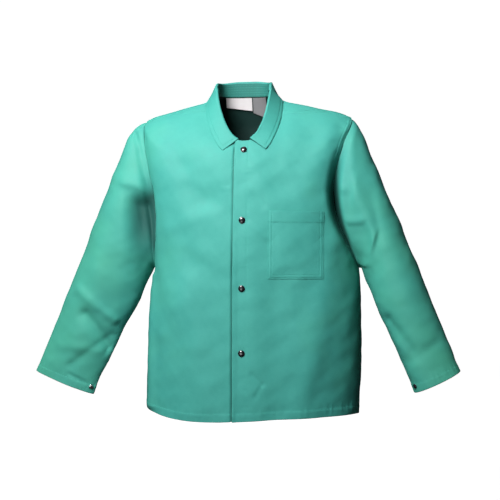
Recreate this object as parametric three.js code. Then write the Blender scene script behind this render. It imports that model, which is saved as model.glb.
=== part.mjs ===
// A welding coat of green flame-resistant cotton sateen, buttoned up with snaps and holding the
// form of a wearer who isn't there. Millimetres, +Z up, the front faces -Y, the wearer's left
// is +X. The origin is midway between the two neck points, where the coat hangs on its wearer.
import * as THREE from "three";

// Driving sizes of the cloth
const cloth = 1.4;
const seamGap = 0.4;
const hemDepth = 18;
const cuffDepth = 16;

// Driving sizes of the body, heights measured down from the neck points
const bodyLength = 735;
const armholeDepth = 349;
const shoulderDrop = 48;
const shoulderHalfWidth = 250;
const tipHalfWidth = 0.965 * shoulderHalfWidth;
const chestHalfWidth = 240;
const hemHalfWidth = 250;
const hemSag = 7;
const hemRise = 20;
const chestFront = 134;
const chestBack = 125;
const neckHalfWidth = 70;
const leftNeck = 0.9 * neckHalfWidth;
const neckShift = 8;
const neckFront = 86;
const neckBack = 60;
const neckDrop = 110;
const neckRise = 17;

// Driving sizes of the front closing and the pocket
const frontLap = 20;
const facingWidth = 44;
const pocketWidth = 122;
const pocketHeight = 150;
const pocketDrop = 270;
const pocketOffset = 58;

// Driving sizes of the collar
const collarCloth = 2;
const backStand = 32;
const backFall = 40;
const standLean = 0.2;
const collarPoint = 40;
const collarSpread = 21;
const rollRadius = 2.6;

// Driving sizes of the sleeves
const sleeveLength = 650;
const sleeveDepth = 72;
const cuffWidth = 141;
const capReach = 20;
const underarmReach = 9;

// Driving sizes of the snaps and labels
const snapSides = 12;
const snapDiameter = 15;
const snapHeight = 3.4;
const studDiameter = 11;
const studHeight = 2.2;
const cuffSnapDiameter = 11;
const labelCloth = 0.8;
const labelDrop = 2;
const makerLabelStart = -62;
const makerLabelWidth = 63;
const makerLabelHeight = 26;
const careLabelStart = 4;
const careLabelWidth = 33;
const careLabelHeight = 42;

const RIGHT_ANGLE = Math.PI / 2;
const degrees = (value) => (value * Math.PI) / 180;
const mix = (from, to, share) => from + (to - from) * share;
const clamp = (value) => Math.min(1, Math.max(0, value));
const ease = (value) => clamp(value) ** 2 * (3 - 2 * clamp(value));
const hump = (value) => Math.exp(-value * value);

const ARMPIT = 0.36;
const TIP = 0.77;
const armpitHeight = -shoulderDrop - armholeDepth;

// Heights of a section at the side, the front and the back: below the armpit it is level
function below(share) {
  const height = mix(armpitHeight, -bodyLength, share);
  return { side: height, front: height, back: height };
}

// Above the armpit each height is a share of the way to the shoulder tip or to the neck
function above(side, front, back) {
  return {
    side: mix(armpitHeight, -shoulderDrop, side),
    front: mix(armpitHeight, -neckDrop, front),
    back: mix(armpitHeight, neckRise, back),
  };
}

// Sections of the body from the hem up to the neck: the heights, the half width to the wearer's
// right and left, and the depth of the front and back as shares of the chest's
const bodySections = [
  section(0, below(1), 0.955 * hemHalfWidth, 1.035 * hemHalfWidth, 1.04, 1.07),
  section(0.16, below(0.6), 0.94 * hemHalfWidth, 1.06 * hemHalfWidth, 1.04, 1.05),
  section(0.29, below(0.21), 0.94 * chestHalfWidth, 1.1 * chestHalfWidth, 1.02, 1.02),
  section(ARMPIT, above(0, 0, 0), 0.915 * chestHalfWidth, 1.075 * chestHalfWidth, 1, 1),
  section(0.48, above(0.32, 0.24, 0.2), 0.95 * chestHalfWidth, 1.04 * chestHalfWidth, 0.97, 0.99),
  section(0.6, above(0.66, 0.47, 0.43), chestHalfWidth, 1.02 * chestHalfWidth, 0.925, 0.965),
  section(0.7, above(0.91, 0.68, 0.64), shoulderHalfWidth, shoulderHalfWidth, 0.865, 0.91),
  section(TIP, above(1, 0.78, 0.74), ridge(1), ridge(1), 0.82, 0.83),
  section(0.88, onRidge(0.42, 0.9, 0.87), ridge(0.5), ridge(0.5), 0.735, 0.67),
  section(1, onRidge(0, 1, 1), neckHalfWidth, leftNeck, neckFront / chestFront, neckBack / chestBack),
];

function section(v, heights, right, left, fore, aft) {
  return { v, ...heights, right, left, fore: fore * chestFront, aft: aft * chestBack };
}

// Heights of a section over the shoulder, where the side is a share of the way down to the tip
function onRidge(side, front, back) {
  return { ...above(1, front, back), side: -side * shoulderDrop };
}

// Half width of the shoulder ridge, a share of the way from the neck to the tip
function ridge(share) {
  return mix(neckHalfWidth, tipHalfWidth, share);
}

// A smooth curve through one column of a table, as a function of the column that holds the knots
function column(rows, key, knotKey = "v") {
  const knots = rows.map((row) => row[knotKey]);
  const values = rows.map((row) => row[key]);
  const last = rows.length - 1;
  const slopes = knots.map((knot, i) => {
    const before = Math.max(0, i - 1);
    const after = Math.min(last, i + 1);
    return (values[after] - values[before]) / (knots[after] - knots[before]);
  });
  return (place) => {
    let i = 0;
    while (i < last - 1 && place > knots[i + 1]) {
      i += 1;
    }
    const span = knots[i + 1] - knots[i];
    const t = (place - knots[i]) / span;
    const rise = values[i + 1] - values[i];
    const start = slopes[i] * span - rise;
    const end = rise - slopes[i + 1] * span;
    return values[i] + rise * t + t * (1 - t) * (start * (1 - t) + end * t);
  };
}

const body = {};
for (const key of ["side", "front", "back", "right", "left", "fore", "aft"]) {
  body[key] = column(bodySections, key);
}

// The smooth form of the body. Turn runs round it, 0 at the centre front and a right angle at
// the wearer's left side, and v runs from the hem, 0, to the neck, 1. Each section is a
// superellipse, and its height goes from the side's to the front's or the back's. The hem hangs
// unevenly, higher at the wearer's right.
function bodyForm(turn, v) {
  const s = Math.sin(turn);
  const c = Math.cos(turn);
  const square = 2.45 - 0.25 * s;
  const reach = (Math.abs(s) ** square + Math.abs(c) ** square) ** (-1 / square);
  const halfWidth = mix(body.right(v), body.left(v), 0.5 + 0.5 * s);
  const depth = mix(body.aft(v), body.fore(v), 0.5 + 0.5 * c);
  const vee = ease((v - TIP) / (1 - TIP)) ** 1.5;
  const across = Math.min(1, Math.abs(s) * reach);
  const level = (1.12 * Math.abs(c)) / (Math.abs(c) + 0.12);
  const neckLine = c > 0 ? level * Math.sqrt(1 - across ** 2.2) : level;
  const rise = mix(c * c, neckLine, vee);
  const centre = c > 0 ? body.front(v) : body.back(v);
  const shift = -neckShift * ease((v - TIP) / (1 - TIP)) * (1 - Math.max(0, c));
  const hang = hemSag * 2 * s * Math.max(0, c) + hemRise * ease(-s) ** 3;
  return new THREE.Vector3(
    halfWidth * s * reach + shift,
    -depth * c * reach,
    mix(body.side(v), centre, rise) + hang * ease(1 - v / ARMPIT),
  );
}

// Folds and hollows of the body, as seen from the front or the back: each runs from x, z to
// x, z, shares of the chest's half width and of the body's length, and its width and its
// height off the form are shares of the chest's half width
const bodyFolds = [
  fold("front", -0.72, -0.13, -0.35, -0.32, 0.16, -0.03),
  fold("front", 0.66, -0.14, 0.4, -0.28, 0.14, -0.022),
  fold("front", -0.91, -0.57, -0.9, -0.97, 0.045, 0.03),
  fold("front", -0.55, -0.62, -0.3, -0.95, 0.17, 0.018),
  fold("front", -0.7, -0.42, -0.2, -0.36, 0.08, 0.012),
  fold("front", 0.85, -0.46, 0.55, -0.98, 0.12, 0.02),
  fold("front", 0.3, -0.62, 0.32, -0.99, 0.16, -0.014),
  fold("front", 0.08, -0.26, 0.32, -0.21, 0.07, -0.007),
  fold("back", -0.75, -0.3, -0.45, -0.95, 0.16, 0.03),
  fold("back", 0.75, -0.3, 0.5, -0.95, 0.16, 0.03),
  fold("back", -0.1, -0.35, 0.05, -0.98, 0.22, -0.028),
  fold("back", -0.5, -0.12, 0.5, -0.12, 0.12, -0.014),
];

function fold(face, fromX, fromZ, toX, toZ, width, height) {
  const from = new THREE.Vector2(fromX * chestHalfWidth, fromZ * bodyLength);
  const to = new THREE.Vector2(toX * chestHalfWidth, toZ * bodyLength);
  return { face, from, to, width: width * chestHalfWidth, height: height * chestHalfWidth };
}

// How far a fold lifts the cloth at a point: a rounded ridge that dies away past both its ends
function foldLift(row, x, z) {
  const run = row.to.clone().sub(row.from);
  const point = new THREE.Vector2(x, z).sub(row.from);
  const along = clamp(point.dot(run) / run.lengthSq());
  const off = point.sub(run.multiplyScalar(along)).length();
  return row.height * hump(off / row.width);
}

// The direction off a surface at turn, v, by short steps along it
function facing(surface, turn, v) {
  const step = 1e-3;
  const low = Math.max(0, v - step);
  const high = Math.min(1, v + step);
  const round = surface(turn + step, v).sub(surface(turn - step, v));
  const up = surface(turn, high).sub(surface(turn, low));
  return round.cross(up).normalize();
}

// The body with its folds
function bodySurface(turn, v) {
  const point = bodyForm(turn, v);
  const face = Math.cos(turn) > 0 ? "front" : "back";
  const strength = ease(Math.abs(Math.cos(turn)) * 4) * ease((1 - v) * 8);
  let lift = 0;
  for (const row of bodyFolds) {
    lift += row.face === face ? foldLift(row, point.x, point.z) : 0;
  }
  return point.addScaledVector(facing(bodyForm, turn, v), lift * strength);
}

// The wearer's left front laps over the right one, so it stands off the form near the closing
const lapLift = 2 * cloth + 3 * seamGap;

function leftFrontSurface(turn, v) {
  const point = bodySurface(turn, v);
  const away = (point.x - frontLap) / (1.4 * facingWidth);
  const lift = Math.cos(turn) > 0 ? lapLift * (1 - ease(away)) : 0;
  return point.addScaledVector(facing(bodySurface, turn, v), lift);
}

// The wall is double at the turned-up hem and at the facing of the front edges
function wallAt(point, v) {
  const hem = point.z < -bodyLength + hemDepth;
  const front = point.y < 0 && Math.abs(point.x) < facingWidth;
  return hem || (front && v < 0.99) ? 2 * cloth : cloth;
}

// The turn at which the body reaches x on its front
function turnAt(x, v) {
  let turn = 0;
  for (let i = 0; i < 6; i += 1) {
    const slope = (bodyForm(turn + 1e-3, v).x - bodyForm(turn - 1e-3, v).x) / 2e-3;
    turn += (x - bodyForm(turn, v).x) / slope;
  }
  return turn;
}

// The shoulder seam lies forward of the ridge, more so at the neck
function shoulderSeam(v) {
  return degrees(11) * ease((v - TIP) / (1 - TIP));
}

// Half a seam's gap, as a turn round the body
function gapTurn(turn, v) {
  const speed = bodyForm(turn + 1e-3, v).distanceTo(bodyForm(turn - 1e-3, v)) / 2e-3;
  return seamGap / 2 / speed;
}

// Armholes: how far each is cut into the front and the back panel, as turns, at its middle and
// how much more at its top
const armholes = {
  right: { sign: -1, front: 30, frontTop: -7, back: 31, backTop: -3 },
  left: { sign: 1, front: 37, frontTop: 3, back: 33, backTop: -3 },
};

// A point round the armhole, 0 at the shoulder tip, a right angle at the front edge and a
// straight angle at the armpit, as a turn and a v of the body
function armholeAt(arm, round) {
  const s = Math.sin(round);
  const c = Math.cos(round);
  const cut = s > 0 ? arm.front + arm.frontTop * c : arm.back + arm.backTop * c;
  const v = mix(ARMPIT, TIP, 0.5 + 0.5 * c);
  const turn = arm.sign * (RIGHT_ANGLE - degrees(cut) * s);
  return { turn, v };
}

function armholePoint(arm, round) {
  const { turn, v } = armholeAt(arm, round);
  return bodySurface(turn, v);
}

// Sleeves: the angle of each off the vertical and the tilt of its cuff, in degrees, the rise of
// its cap over the shoulder's line as a share of the sleeve's depth, the flat width of its cuff as
// a share of the cuff's, how far the cuff reaches forward and how long the sleeve is, as shares of
// the sleeve's length, and whether it stands open, 1, or lies flat, 0
const sleeves = {
  right: sleeveShape("right", 21.2, 21, 0.42, 1.04, 0.06, 1, 0),
  left: sleeveShape("left", 21.7, 26.5, 0.16, 0.8, 0.11, 0.96, 1),
};

function sleeveShape(name, lean, tilt, capRise, span, forward, reach, open) {
  return { ...armholes[name], lean, tilt, capRise, span, forward, reach, open };
}

// Half depths of the sleeve from the armhole to the cuff, as shares of the sleeve's depth, for a
// sleeve that lies flat and for one that stands open
const sleeveDepths = [
  { w: 0, flat: 0.94, open: 1.02 },
  { w: 0.12, flat: 1.0, open: 1.06 },
  { w: 0.3, flat: 0.95, open: 1.05 },
  { w: 0.5, flat: 0.78, open: 0.98 },
  { w: 0.7, flat: 0.6, open: 0.82 },
  { w: 0.86, flat: 0.45, open: 0.67 },
  { w: 1, flat: 0.3, open: 0.55 },
];
const flatDepth = column(sleeveDepths, "flat", "w");
const openDepth = column(sleeveDepths, "open", "w");

// Where the sleeve's sections lie, from the armhole to the cuff
const sleeveRows = [0, 0.03, 0.07, 0.12, 0.18, 0.24, 0.3, 0.37, 0.44, 0.52, 0.6, 0.68, 0.76, 0.84, 0.92, 1];

// The sleeve's outer line: straight from the shoulder tip to the cuff, after a rounded cap
function outerLine(sleeve, w) {
  const tip = bodySurface(sleeve.sign * RIGHT_ANGLE, TIP);
  const lean = degrees(sleeve.lean);
  const along = sleeveLength * sleeve.reach * w;
  const rise = sleeve.capRise * sleeveDepth * (1 - Math.exp(-along / capReach));
  const out = along * Math.sin(lean) + rise * Math.cos(lean);
  const down = along * Math.cos(lean) - rise * Math.sin(lean);
  return tip.add(new THREE.Vector3(sleeve.sign * out, 0, -down));
}

// The sleeve's inner line: straight from the armpit to the cuff
function innerLine(sleeve, w) {
  const armpit = bodySurface(sleeve.sign * RIGHT_ANGLE, ARMPIT);
  const tilt = degrees(sleeve.tilt);
  const span = sleeve.span * cuffWidth;
  const across = new THREE.Vector3(-sleeve.sign * Math.cos(tilt), 0, -Math.sin(tilt));
  const cuff = outerLine(sleeve, 1).addScaledVector(across, span);
  const out = underarmReach * (1 - Math.exp(-w / 0.05)) * (1 - w);
  return armpit.lerp(cuff, w ** 2.5).add(new THREE.Vector3(sleeve.sign * out, 0, 0));
}

// A plain oval section of the sleeve, hung between its outer and its inner line
function sleeveOval(sleeve, round, w) {
  const outer = outerLine(sleeve, w);
  const inner = innerLine(sleeve, w);
  const half = outer.clone().sub(inner).multiplyScalar(0.5);
  const square = mix(2.1, mix(1.75, 2.05, sleeve.open), w);
  const s = Math.sin(round);
  const c = Math.cos(round);
  const reach = (Math.abs(s) ** square + Math.abs(c) ** square) ** (-1 / square);
  const depth = sleeveDepth * mix(flatDepth(w), openDepth(w), sleeve.open);
  const point = outer.lerp(inner, 0.5).addScaledVector(half, c * reach);
  point.y -= depth * s * reach + sleeve.forward * sleeveLength * w ** 1.3;
  return point;
}

// Folds of each sleeve: from round, w to round, w, with a width and a height in shares of the
// sleeve's depth. Round is in right angles, 1 at the front and 2 at the underarm.
const sleeveFolds = {
  right: [
    sleeveFold(0.75, 0.17, 1.22, 0.42, 0.22, 0.13),
    sleeveFold(1.1, 0.08, 1.5, 0.36, 0.22, -0.1),
    sleeveFold(0.9, 0.74, 1.7, 0.84, 0.2, -0.1),
    sleeveFold(0.6, 0.66, 1.5, 0.72, 0.2, 0.06),
    sleeveFold(3.3, 0.55, 2.4, 0.68, 0.25, -0.1),
    sleeveFold(3.2, 0.2, 2.5, 0.4, 0.3, -0.1),
  ],
  left: [
    sleeveFold(0.9, 0.1, 1.1, 0.3, 0.25, 0.1),
    sleeveFold(0.62, 0.14, 0.72, 0.4, 0.14, -0.05),
    sleeveFold(1.25, 0.3, 1.4, 0.42, 0.16, 0.07),
    sleeveFold(1.6, 0.72, 1.3, 0.86, 0.25, -0.07),
    sleeveFold(3.3, 0.55, 2.4, 0.66, 0.25, -0.1),
    sleeveFold(3.2, 0.2, 2.5, 0.4, 0.3, -0.1),
  ],
};

function sleeveFold(fromRound, fromW, toRound, toW, width, height) {
  const from = new THREE.Vector2(fromRound * RIGHT_ANGLE * sleeveDepth, fromW * sleeveLength);
  const to = new THREE.Vector2(toRound * RIGHT_ANGLE * sleeveDepth, toW * sleeveLength);
  return { from, to, width: width * sleeveDepth, height: height * sleeveDepth };
}

// The seam between a panel and the sleeve: the step into the cloth that both edges share, and
// the step that keeps the sleeve's edge off the panel's
function armholeSeam(sleeve, round) {
  const { turn, v } = armholeAt(sleeve, round);
  const step = 1e-3;
  const tangent = armholePoint(sleeve, round + step).sub(armholePoint(sleeve, round - step));
  const panelOut = facing(bodySurface, turn, v);
  const edge = armholePoint(sleeve, round);
  const leave = drawnOval(sleeve, round, sleeveRows[1], edge).sub(edge);
  const sleeveOut = tangent.clone().cross(leave).multiplyScalar(sleeve.sign).normalize();
  const both = panelOut.clone().add(sleeveOut);
  const inward = both.clone().multiplyScalar(-cloth / Math.max(0.5, 1 + panelOut.dot(sleeveOut)));
  const across = tangent.normalize().cross(both).normalize();
  across.multiplyScalar(Math.sign(across.dot(leave)) * seamGap);
  return { inward, across };
}

// The share of the armhole's own outline that a sleeve section keeps
function fade(w) {
  return (1 - clamp(w / 0.3)) ** 2;
}

// A sleeve's oval drawn towards its place on the armhole, less so away from the shoulder
function drawnOval(sleeve, round, w, edge) {
  const off = edge.clone().sub(sleeveOval(sleeve, round, 0));
  return sleeveOval(sleeve, round, w).addScaledVector(off, fade(w));
}

function sleeveSurface(name, round, w) {
  const sleeve = sleeves[name];
  const edge = armholePoint(sleeve, round).add(armholeSeam(sleeve, round).across);
  return drawnOval(sleeve, round, w, edge);
}

function foldedSleeve(name, round, w) {
  const point = sleeveSurface(name, round, w);
  const arc = new THREE.Vector2(round * sleeveDepth, w * sleeveLength);
  let lift = 0;
  for (const row of sleeveFolds[name]) {
    lift += foldLift(row, arc.x, arc.y);
  }
  const out = facing((r, s) => sleeveSurface(name, r, s), round, w);
  const strength = ease(w * 8) * ease((1 - w) * 12);
  return point.addScaledVector(out, sleeves[name].sign * lift * strength);
}

// Meshes

function paint(color, roughness, metalness = 0) {
  return new THREE.MeshStandardMaterial({ color, roughness, metalness });
}

// A closed wall from two matching grids of points, outside and inside, each a list of rows.
// A grid that goes all the way round has no edge between its last column and its first.
function wall(outside, inside, allRound = false) {
  const rows = outside.length;
  const columns = outside[0].length;
  const count = rows * columns;
  const points = [...outside.flat(), ...inside.flat()];
  const faces = [];
  const quad = (a, b, c, d) => faces.push(a, b, c, a, c, d);
  const evenQuad = (a, b, c, d) => {
    const longer = points[a].distanceTo(points[c]) > points[b].distanceTo(points[d]);
    return longer ? quad(b, c, d, a) : quad(a, b, c, d);
  };
  const spans = allRound ? columns : columns - 1;
  for (let j = 0; j < rows - 1; j += 1) {
    for (let i = 0; i < spans; i += 1) {
      const a = j * columns + i;
      const b = j * columns + ((i + 1) % columns);
      evenQuad(a, b, b + columns, a + columns);
      evenQuad(count + a, count + a + columns, count + b + columns, count + b);
    }
  }
  for (let i = 0; i < spans; i += 1) {
    const next = (i + 1) % columns;
    const top = (rows - 1) * columns;
    // A sleeve's rim is split as the panels' rims are, from the armpit's side up
    if (allRound && i < columns / 2) {
      quad(count + i, count + next, next, i);
    } else {
      quad(i, count + i, count + next, next);
    }
    quad(top + i, top + next, count + top + next, count + top + i);
  }
  for (let j = 0; j < rows - 1 && !allRound; j += 1) {
    const a = j * columns;
    const b = a + columns - 1;
    quad(a, a + columns, count + a + columns, count + a);
    quad(b, count + b, count + b + columns, b + columns);
  }
  return closedGeometry(points, faces);
}

// Turns the faces round if they point inwards, which the sign of the volume tells
function closedGeometry(points, faces) {
  let volume = 0;
  for (let i = 0; i < faces.length; i += 3) {
    const [a, b, c] = [points[faces[i]], points[faces[i + 1]], points[faces[i + 2]]];
    volume += a.dot(b.clone().cross(c));
  }
  const order = volume < 0 ? faces.reverse() : faces;
  const geometry = new THREE.BufferGeometry().setFromPoints(points);
  geometry.setIndex(order);
  geometry.computeVertexNormals();
  return geometry;
}

function mesh(name, geometry, material) {
  const made = new THREE.Mesh(geometry, material);
  made.name = name;
  return made;
}

const green = paint(0x3fa892, 0.78);
const darkSnap = paint(0x14161a, 0.3);
const metalSnap = paint(0xa9adb0, 0.35, 0.9);
const whiteLabel = paint(0xdfd9dc, 0.8);
const greyLabel = paint(0x8b8f92, 0.85);

// Heights of the panels' rows: below the armpit, up the armhole, and over the shoulder
const skirtRows = [0, 0.022, 0.08, 0.14, 0.2, 0.26, 0.31, 0.34];
const armholeSteps = 12;
const yokeRows = [0.79, 0.82, 0.85, 0.88, 0.91, 0.94, 0.97, 1];

const panelRows = [];
for (const v of skirtRows) {
  panelRows.push({ v });
}
for (let i = 0; i <= armholeSteps; i += 1) {
  const round = Math.PI * (1 - i / armholeSteps);
  panelRows.push({ v: mix(ARMPIT, TIP, 0.5 + 0.5 * Math.cos(round)), round });
}
for (const v of yokeRows) {
  panelRows.push({ v });
}

// The side edge of a panel at one row: the side seam, the armhole or the shoulder seam
function sideEdge(name, face, row) {
  const arm = armholes[name];
  const into = face === "front" ? 1 : -1;
  const gap = gapTurn(RIGHT_ANGLE, row.v);
  if (row.round === undefined) {
    return arm.sign * (RIGHT_ANGLE - shoulderSeam(row.v) - into * gap);
  }
  const hole = armholeAt(arm, into * row.round);
  const cut = Math.max(gap, Math.abs(RIGHT_ANGLE - Math.abs(hole.turn)));
  return arm.sign * (RIGHT_ANGLE - into * cut);
}

// The step into the cloth at a panel's side edge
function edgeInward(name, face, row, out, thickness) {
  if (row.round === undefined) {
    return out.multiplyScalar(-thickness);
  }
  const round = face === "front" ? row.round : -row.round;
  return armholeSeam(sleeves[name], round).inward;
}

// The turn of a column: evenly spaced ones from side to side, drawn in to the edges last
function columnTurn(from, to, share) {
  const middle = from + to > 2 * RIGHT_ANGLE ? Math.PI : 0;
  const [low, high] = [wideEdge(from, middle), wideEdge(to, middle)];
  const even = mix(low, high, share);
  return even + (from - low) * (1 - share) ** 2.2 + (to - high) * share ** 2.2;
}

// The right angle that an edge would lie at without the armhole, or a front edge as it is
function wideEdge(turn, middle) {
  const side = Math.sign(turn - middle) * RIGHT_ANGLE;
  return Math.abs(turn - middle) > 0.6 ? middle + side : turn;
}

// A panel between two edges, each a turn for every row
function panel(surface, columns, start, end) {
  const outside = [];
  const inside = [];
  for (const row of panelRows) {
    const from = start.turn(row);
    const to = end.turn(row);
    const outer = [];
    const inner = [];
    for (let i = 0; i <= columns; i += 1) {
      const turn = columnTurn(from, to, i / columns);
      const point = surface(turn, row.v);
      const out = facing(surface, turn, row.v);
      const thickness = wallAt(point, row.v);
      const edge = i === 0 ? start : i === columns ? end : null;
      const inward = edge && edge.name
        ? edgeInward(edge.name, edge.face, row, out, thickness)
        : out.multiplyScalar(-thickness);
      outer.push(point);
      inner.push(point.clone().add(inward));
    }
    outside.push(outer);
    inside.push(inner);
  }
  return wall(outside, inside);
}

function seamEdge(name, face) {
  return { name, face, turn: (row) => sideEdge(name, face, row) };
}

function backPanel() {
  const right = seamEdge("right", "back");
  const round = { ...right, turn: (row) => 2 * Math.PI + right.turn(row) };
  return mesh("back_panel", panel(bodySurface, 20, seamEdge("left", "back"), round), green);
}

function leftFront() {
  const edge = { turn: (row) => turnAt(-frontLap, row.v) };
  const geometry = panel(leftFrontSurface, 12, edge, seamEdge("left", "front"));
  return mesh("left_front", geometry, green);
}

function rightFront() {
  const edge = { turn: (row) => turnAt(frontLap, row.v) };
  const geometry = panel(bodySurface, 12, seamEdge("right", "front"), edge);
  return mesh("right_front", geometry, green);
}

function sleeveMesh(name) {
  const outside = [];
  const inside = [];
  const around = 2 * armholeSteps;
  for (const w of sleeveRows) {
    const outer = [];
    const inner = [];
    for (let i = 0; i < around; i += 1) {
      const round = (i / around) * 2 * Math.PI;
      const point = foldedSleeve(name, round, w);
      const out = facing((r, s) => foldedSleeve(name, r, s), round, w);
      const thickness = (1 - w) * sleeveLength < 2 * cuffDepth ? 2 * cloth : cloth;
      const inward = w === 0
        ? armholeSeam(sleeves[name], round).inward
        : out.multiplyScalar(-sleeves[name].sign * thickness);
      outer.push(point);
      inner.push(point.clone().add(inward));
    }
    outside.push(outer);
    inside.push(inner);
  }
  return mesh(name + "_sleeve", wall(outside, inside, true), green);
}

// The foot of a point on the body: the turn and v of the surface nearest to it
function footOf(surface, point, turn, v) {
  const step = 1e-3;
  let foot = { turn, v };
  for (let i = 0; i < 8; i += 1) {
    const at = surface(foot.turn, foot.v);
    const round = surface(foot.turn + step, foot.v).sub(at).divideScalar(step);
    const up = at.clone().sub(surface(foot.turn, foot.v - step)).divideScalar(step);
    const off = point.clone().sub(at);
    const [a, b, c] = [round.dot(round), round.dot(up), up.dot(up)];
    const [p, q] = [off.dot(round), off.dot(up)];
    const scale = a * c - b * b;
    foot = {
      turn: foot.turn + (p * c - q * b) / scale,
      v: Math.min(1, Math.max(0, foot.v + (q * a - p * b) / scale)),
    };
  }
  return foot;
}

// The point of a surface that is seen straight from the front or the back at x, z
function seenAt(surface, x, z, turn, v) {
  const step = 1e-3;
  let at = { turn, v };
  for (let i = 0; i < 12; i += 1) {
    const here = surface(at.turn, at.v);
    const round = surface(at.turn + step, at.v).sub(here).divideScalar(step);
    const up = here.clone().sub(surface(at.turn, at.v - step)).divideScalar(step);
    const scale = round.x * up.z - round.z * up.x;
    const [p, q] = [x - here.x, z - here.z];
    at = {
      turn: at.turn + (p * up.z - q * up.x) / scale,
      v: at.v + (q * round.x - p * round.z) / scale,
    };
  }
  return { point: surface(at.turn, at.v), out: facing(surface, at.turn, at.v) };
}

// A flat patch of cloth that lies on a surface, between two heights off it
function patch(surface, start, width, height, columns, rows, low, high) {
  const outside = [];
  const inside = [];
  for (let j = 0; j <= rows; j += 1) {
    const outer = [];
    const inner = [];
    for (let i = 0; i <= columns; i += 1) {
      const x = start.x + (width * i) / columns;
      const z = start.z - (height * j) / rows;
      const { point, out } = seenAt(surface, x, z, start.turn, start.v);
      outer.push(point.clone().addScaledVector(out, high));
      inner.push(point.addScaledVector(out, low));
    }
    outside.push(outer);
    inside.push(inner);
  }
  return wall(outside, inside);
}

function breastPocket() {
  const start = { x: pocketOffset, z: -pocketDrop, turn: 0.4, v: 0.5 };
  const low = 1.5 * seamGap;
  const geometry = patch(leftFrontSurface, start, pocketWidth, pocketHeight, 8, 9, low, low + cloth);
  return mesh("breast_pocket", geometry, green);
}

// The labels hang inside the back of the neck, one beside the other
function neckLabel(name, x, width, height, material) {
  const start = { x, z: neckRise - labelDrop, turn: Math.PI, v: 0.95 };
  const high = -cloth - 2 * seamGap;
  const geometry = patch(bodySurface, start, width, height, 4, 3, high - labelCloth, high);
  return mesh(name, geometry, material);
}

// The collar round the neck: the height of its stand and the width of its fall, as shares of
// those at the back, from its front end, 0, to the centre back, 1
const collarRows = [
  { at: 0, stand: 0.05, fall: 1 },
  { at: 0.1, stand: 0.17, fall: 0.97 },
  { at: 0.25, stand: 0.45, fall: 0.97 },
  { at: 0.45, stand: 0.79, fall: 1.04 },
  { at: 0.7, stand: 0.83, fall: 1 },
  { at: 0.9, stand: 0.985, fall: 1 },
  { at: 1, stand: 1, fall: 1 },
];
const standShare = column(collarRows, "stand", "at");
const fallShare = column(collarRows, "fall", "at");

// One section of the collar, at a share of the way round the neck: the neck seam's point, the
// direction its stand rises in, the direction away from the neck, and its sizes
function collarSection(share) {
  const front = turnAt(0.76 * frontLap, 1);
  const turn = mix(front, 2 * Math.PI - front, share);
  const surface = share < 0.5 ? leftFrontSurface : bodySurface;
  const seam = surface(turn, 1);
  const along = surface(turn + 2e-3, 1).sub(surface(turn - 2e-3, 1)).normalize();
  const up = new THREE.Vector3(0, 0, 1);
  up.addScaledVector(along, -along.z).normalize();
  const away = along.clone().cross(up);
  const toBack = 1 - Math.abs(2 * share - 1);
  return {
    turn,
    surface,
    seam: seam.addScaledVector(up, 2 * seamGap),
    along: along.multiplyScalar(share < 0.5 ? 1 : -1),
    up,
    away,
    stand: backStand * standShare(toBack),
    fall: mix(collarPoint, backFall, ease(toBack * 4)) * fallShare(toBack),
    spread: collarSpread * (1 - ease(toBack * 5)),
  };
}

// A point of a collar section: up the stand, round the roll and down the fall. Bend is the angle
// that the roll turns through, and s goes from 0 at the seam to 1 at the outer edge.
function collarPointAt(part, bend, s) {
  const arc = rollRadius * bend;
  const standEnd = 0.36;
  const rollEnd = 0.62;
  const origin = part.seam.clone();
  const put = (out, up, along = 0) => origin
    .addScaledVector(part.away, out)
    .addScaledVector(part.up, up)
    .addScaledVector(part.along, along);
  const inward = -standLean * part.stand;
  if (s <= standEnd) {
    return put((inward * s) / standEnd, (part.stand * s) / standEnd);
  }
  const angle = bend * Math.min(1, (s - standEnd) / (rollEnd - standEnd));
  const out = inward + rollRadius * (1 - Math.cos(angle));
  const up = part.stand + rollRadius * Math.sin(angle);
  const down = Math.max(0, (s - rollEnd) / (1 - rollEnd));
  const length = (part.fall - arc / 2) * down;
  return put(out + length * Math.sin(bend), up + length * Math.cos(bend), part.spread * down);
}

// The bend at which the fall comes down to just off the body, found by halving
function collarBend(part) {
  const clearance = collarCloth / 2 + 2.5 * seamGap;
  let low = degrees(95);
  let high = degrees(176);
  for (let i = 0; i < 12; i += 1) {
    const bend = (low + high) / 2;
    let room = Infinity;
    for (const s of [0.8, 0.9, 1]) {
      const point = collarPointAt(part, bend, s);
      const foot = footOf(part.surface, point, part.turn, 0.93);
      const at = part.surface(foot.turn, foot.v);
      const out = facing(part.surface, foot.turn, foot.v);
      room = Math.min(room, point.sub(at).dot(out));
    }
    if (room > clearance) {
      low = bend;
    } else {
      high = bend;
    }
  }
  return low;
}

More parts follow.
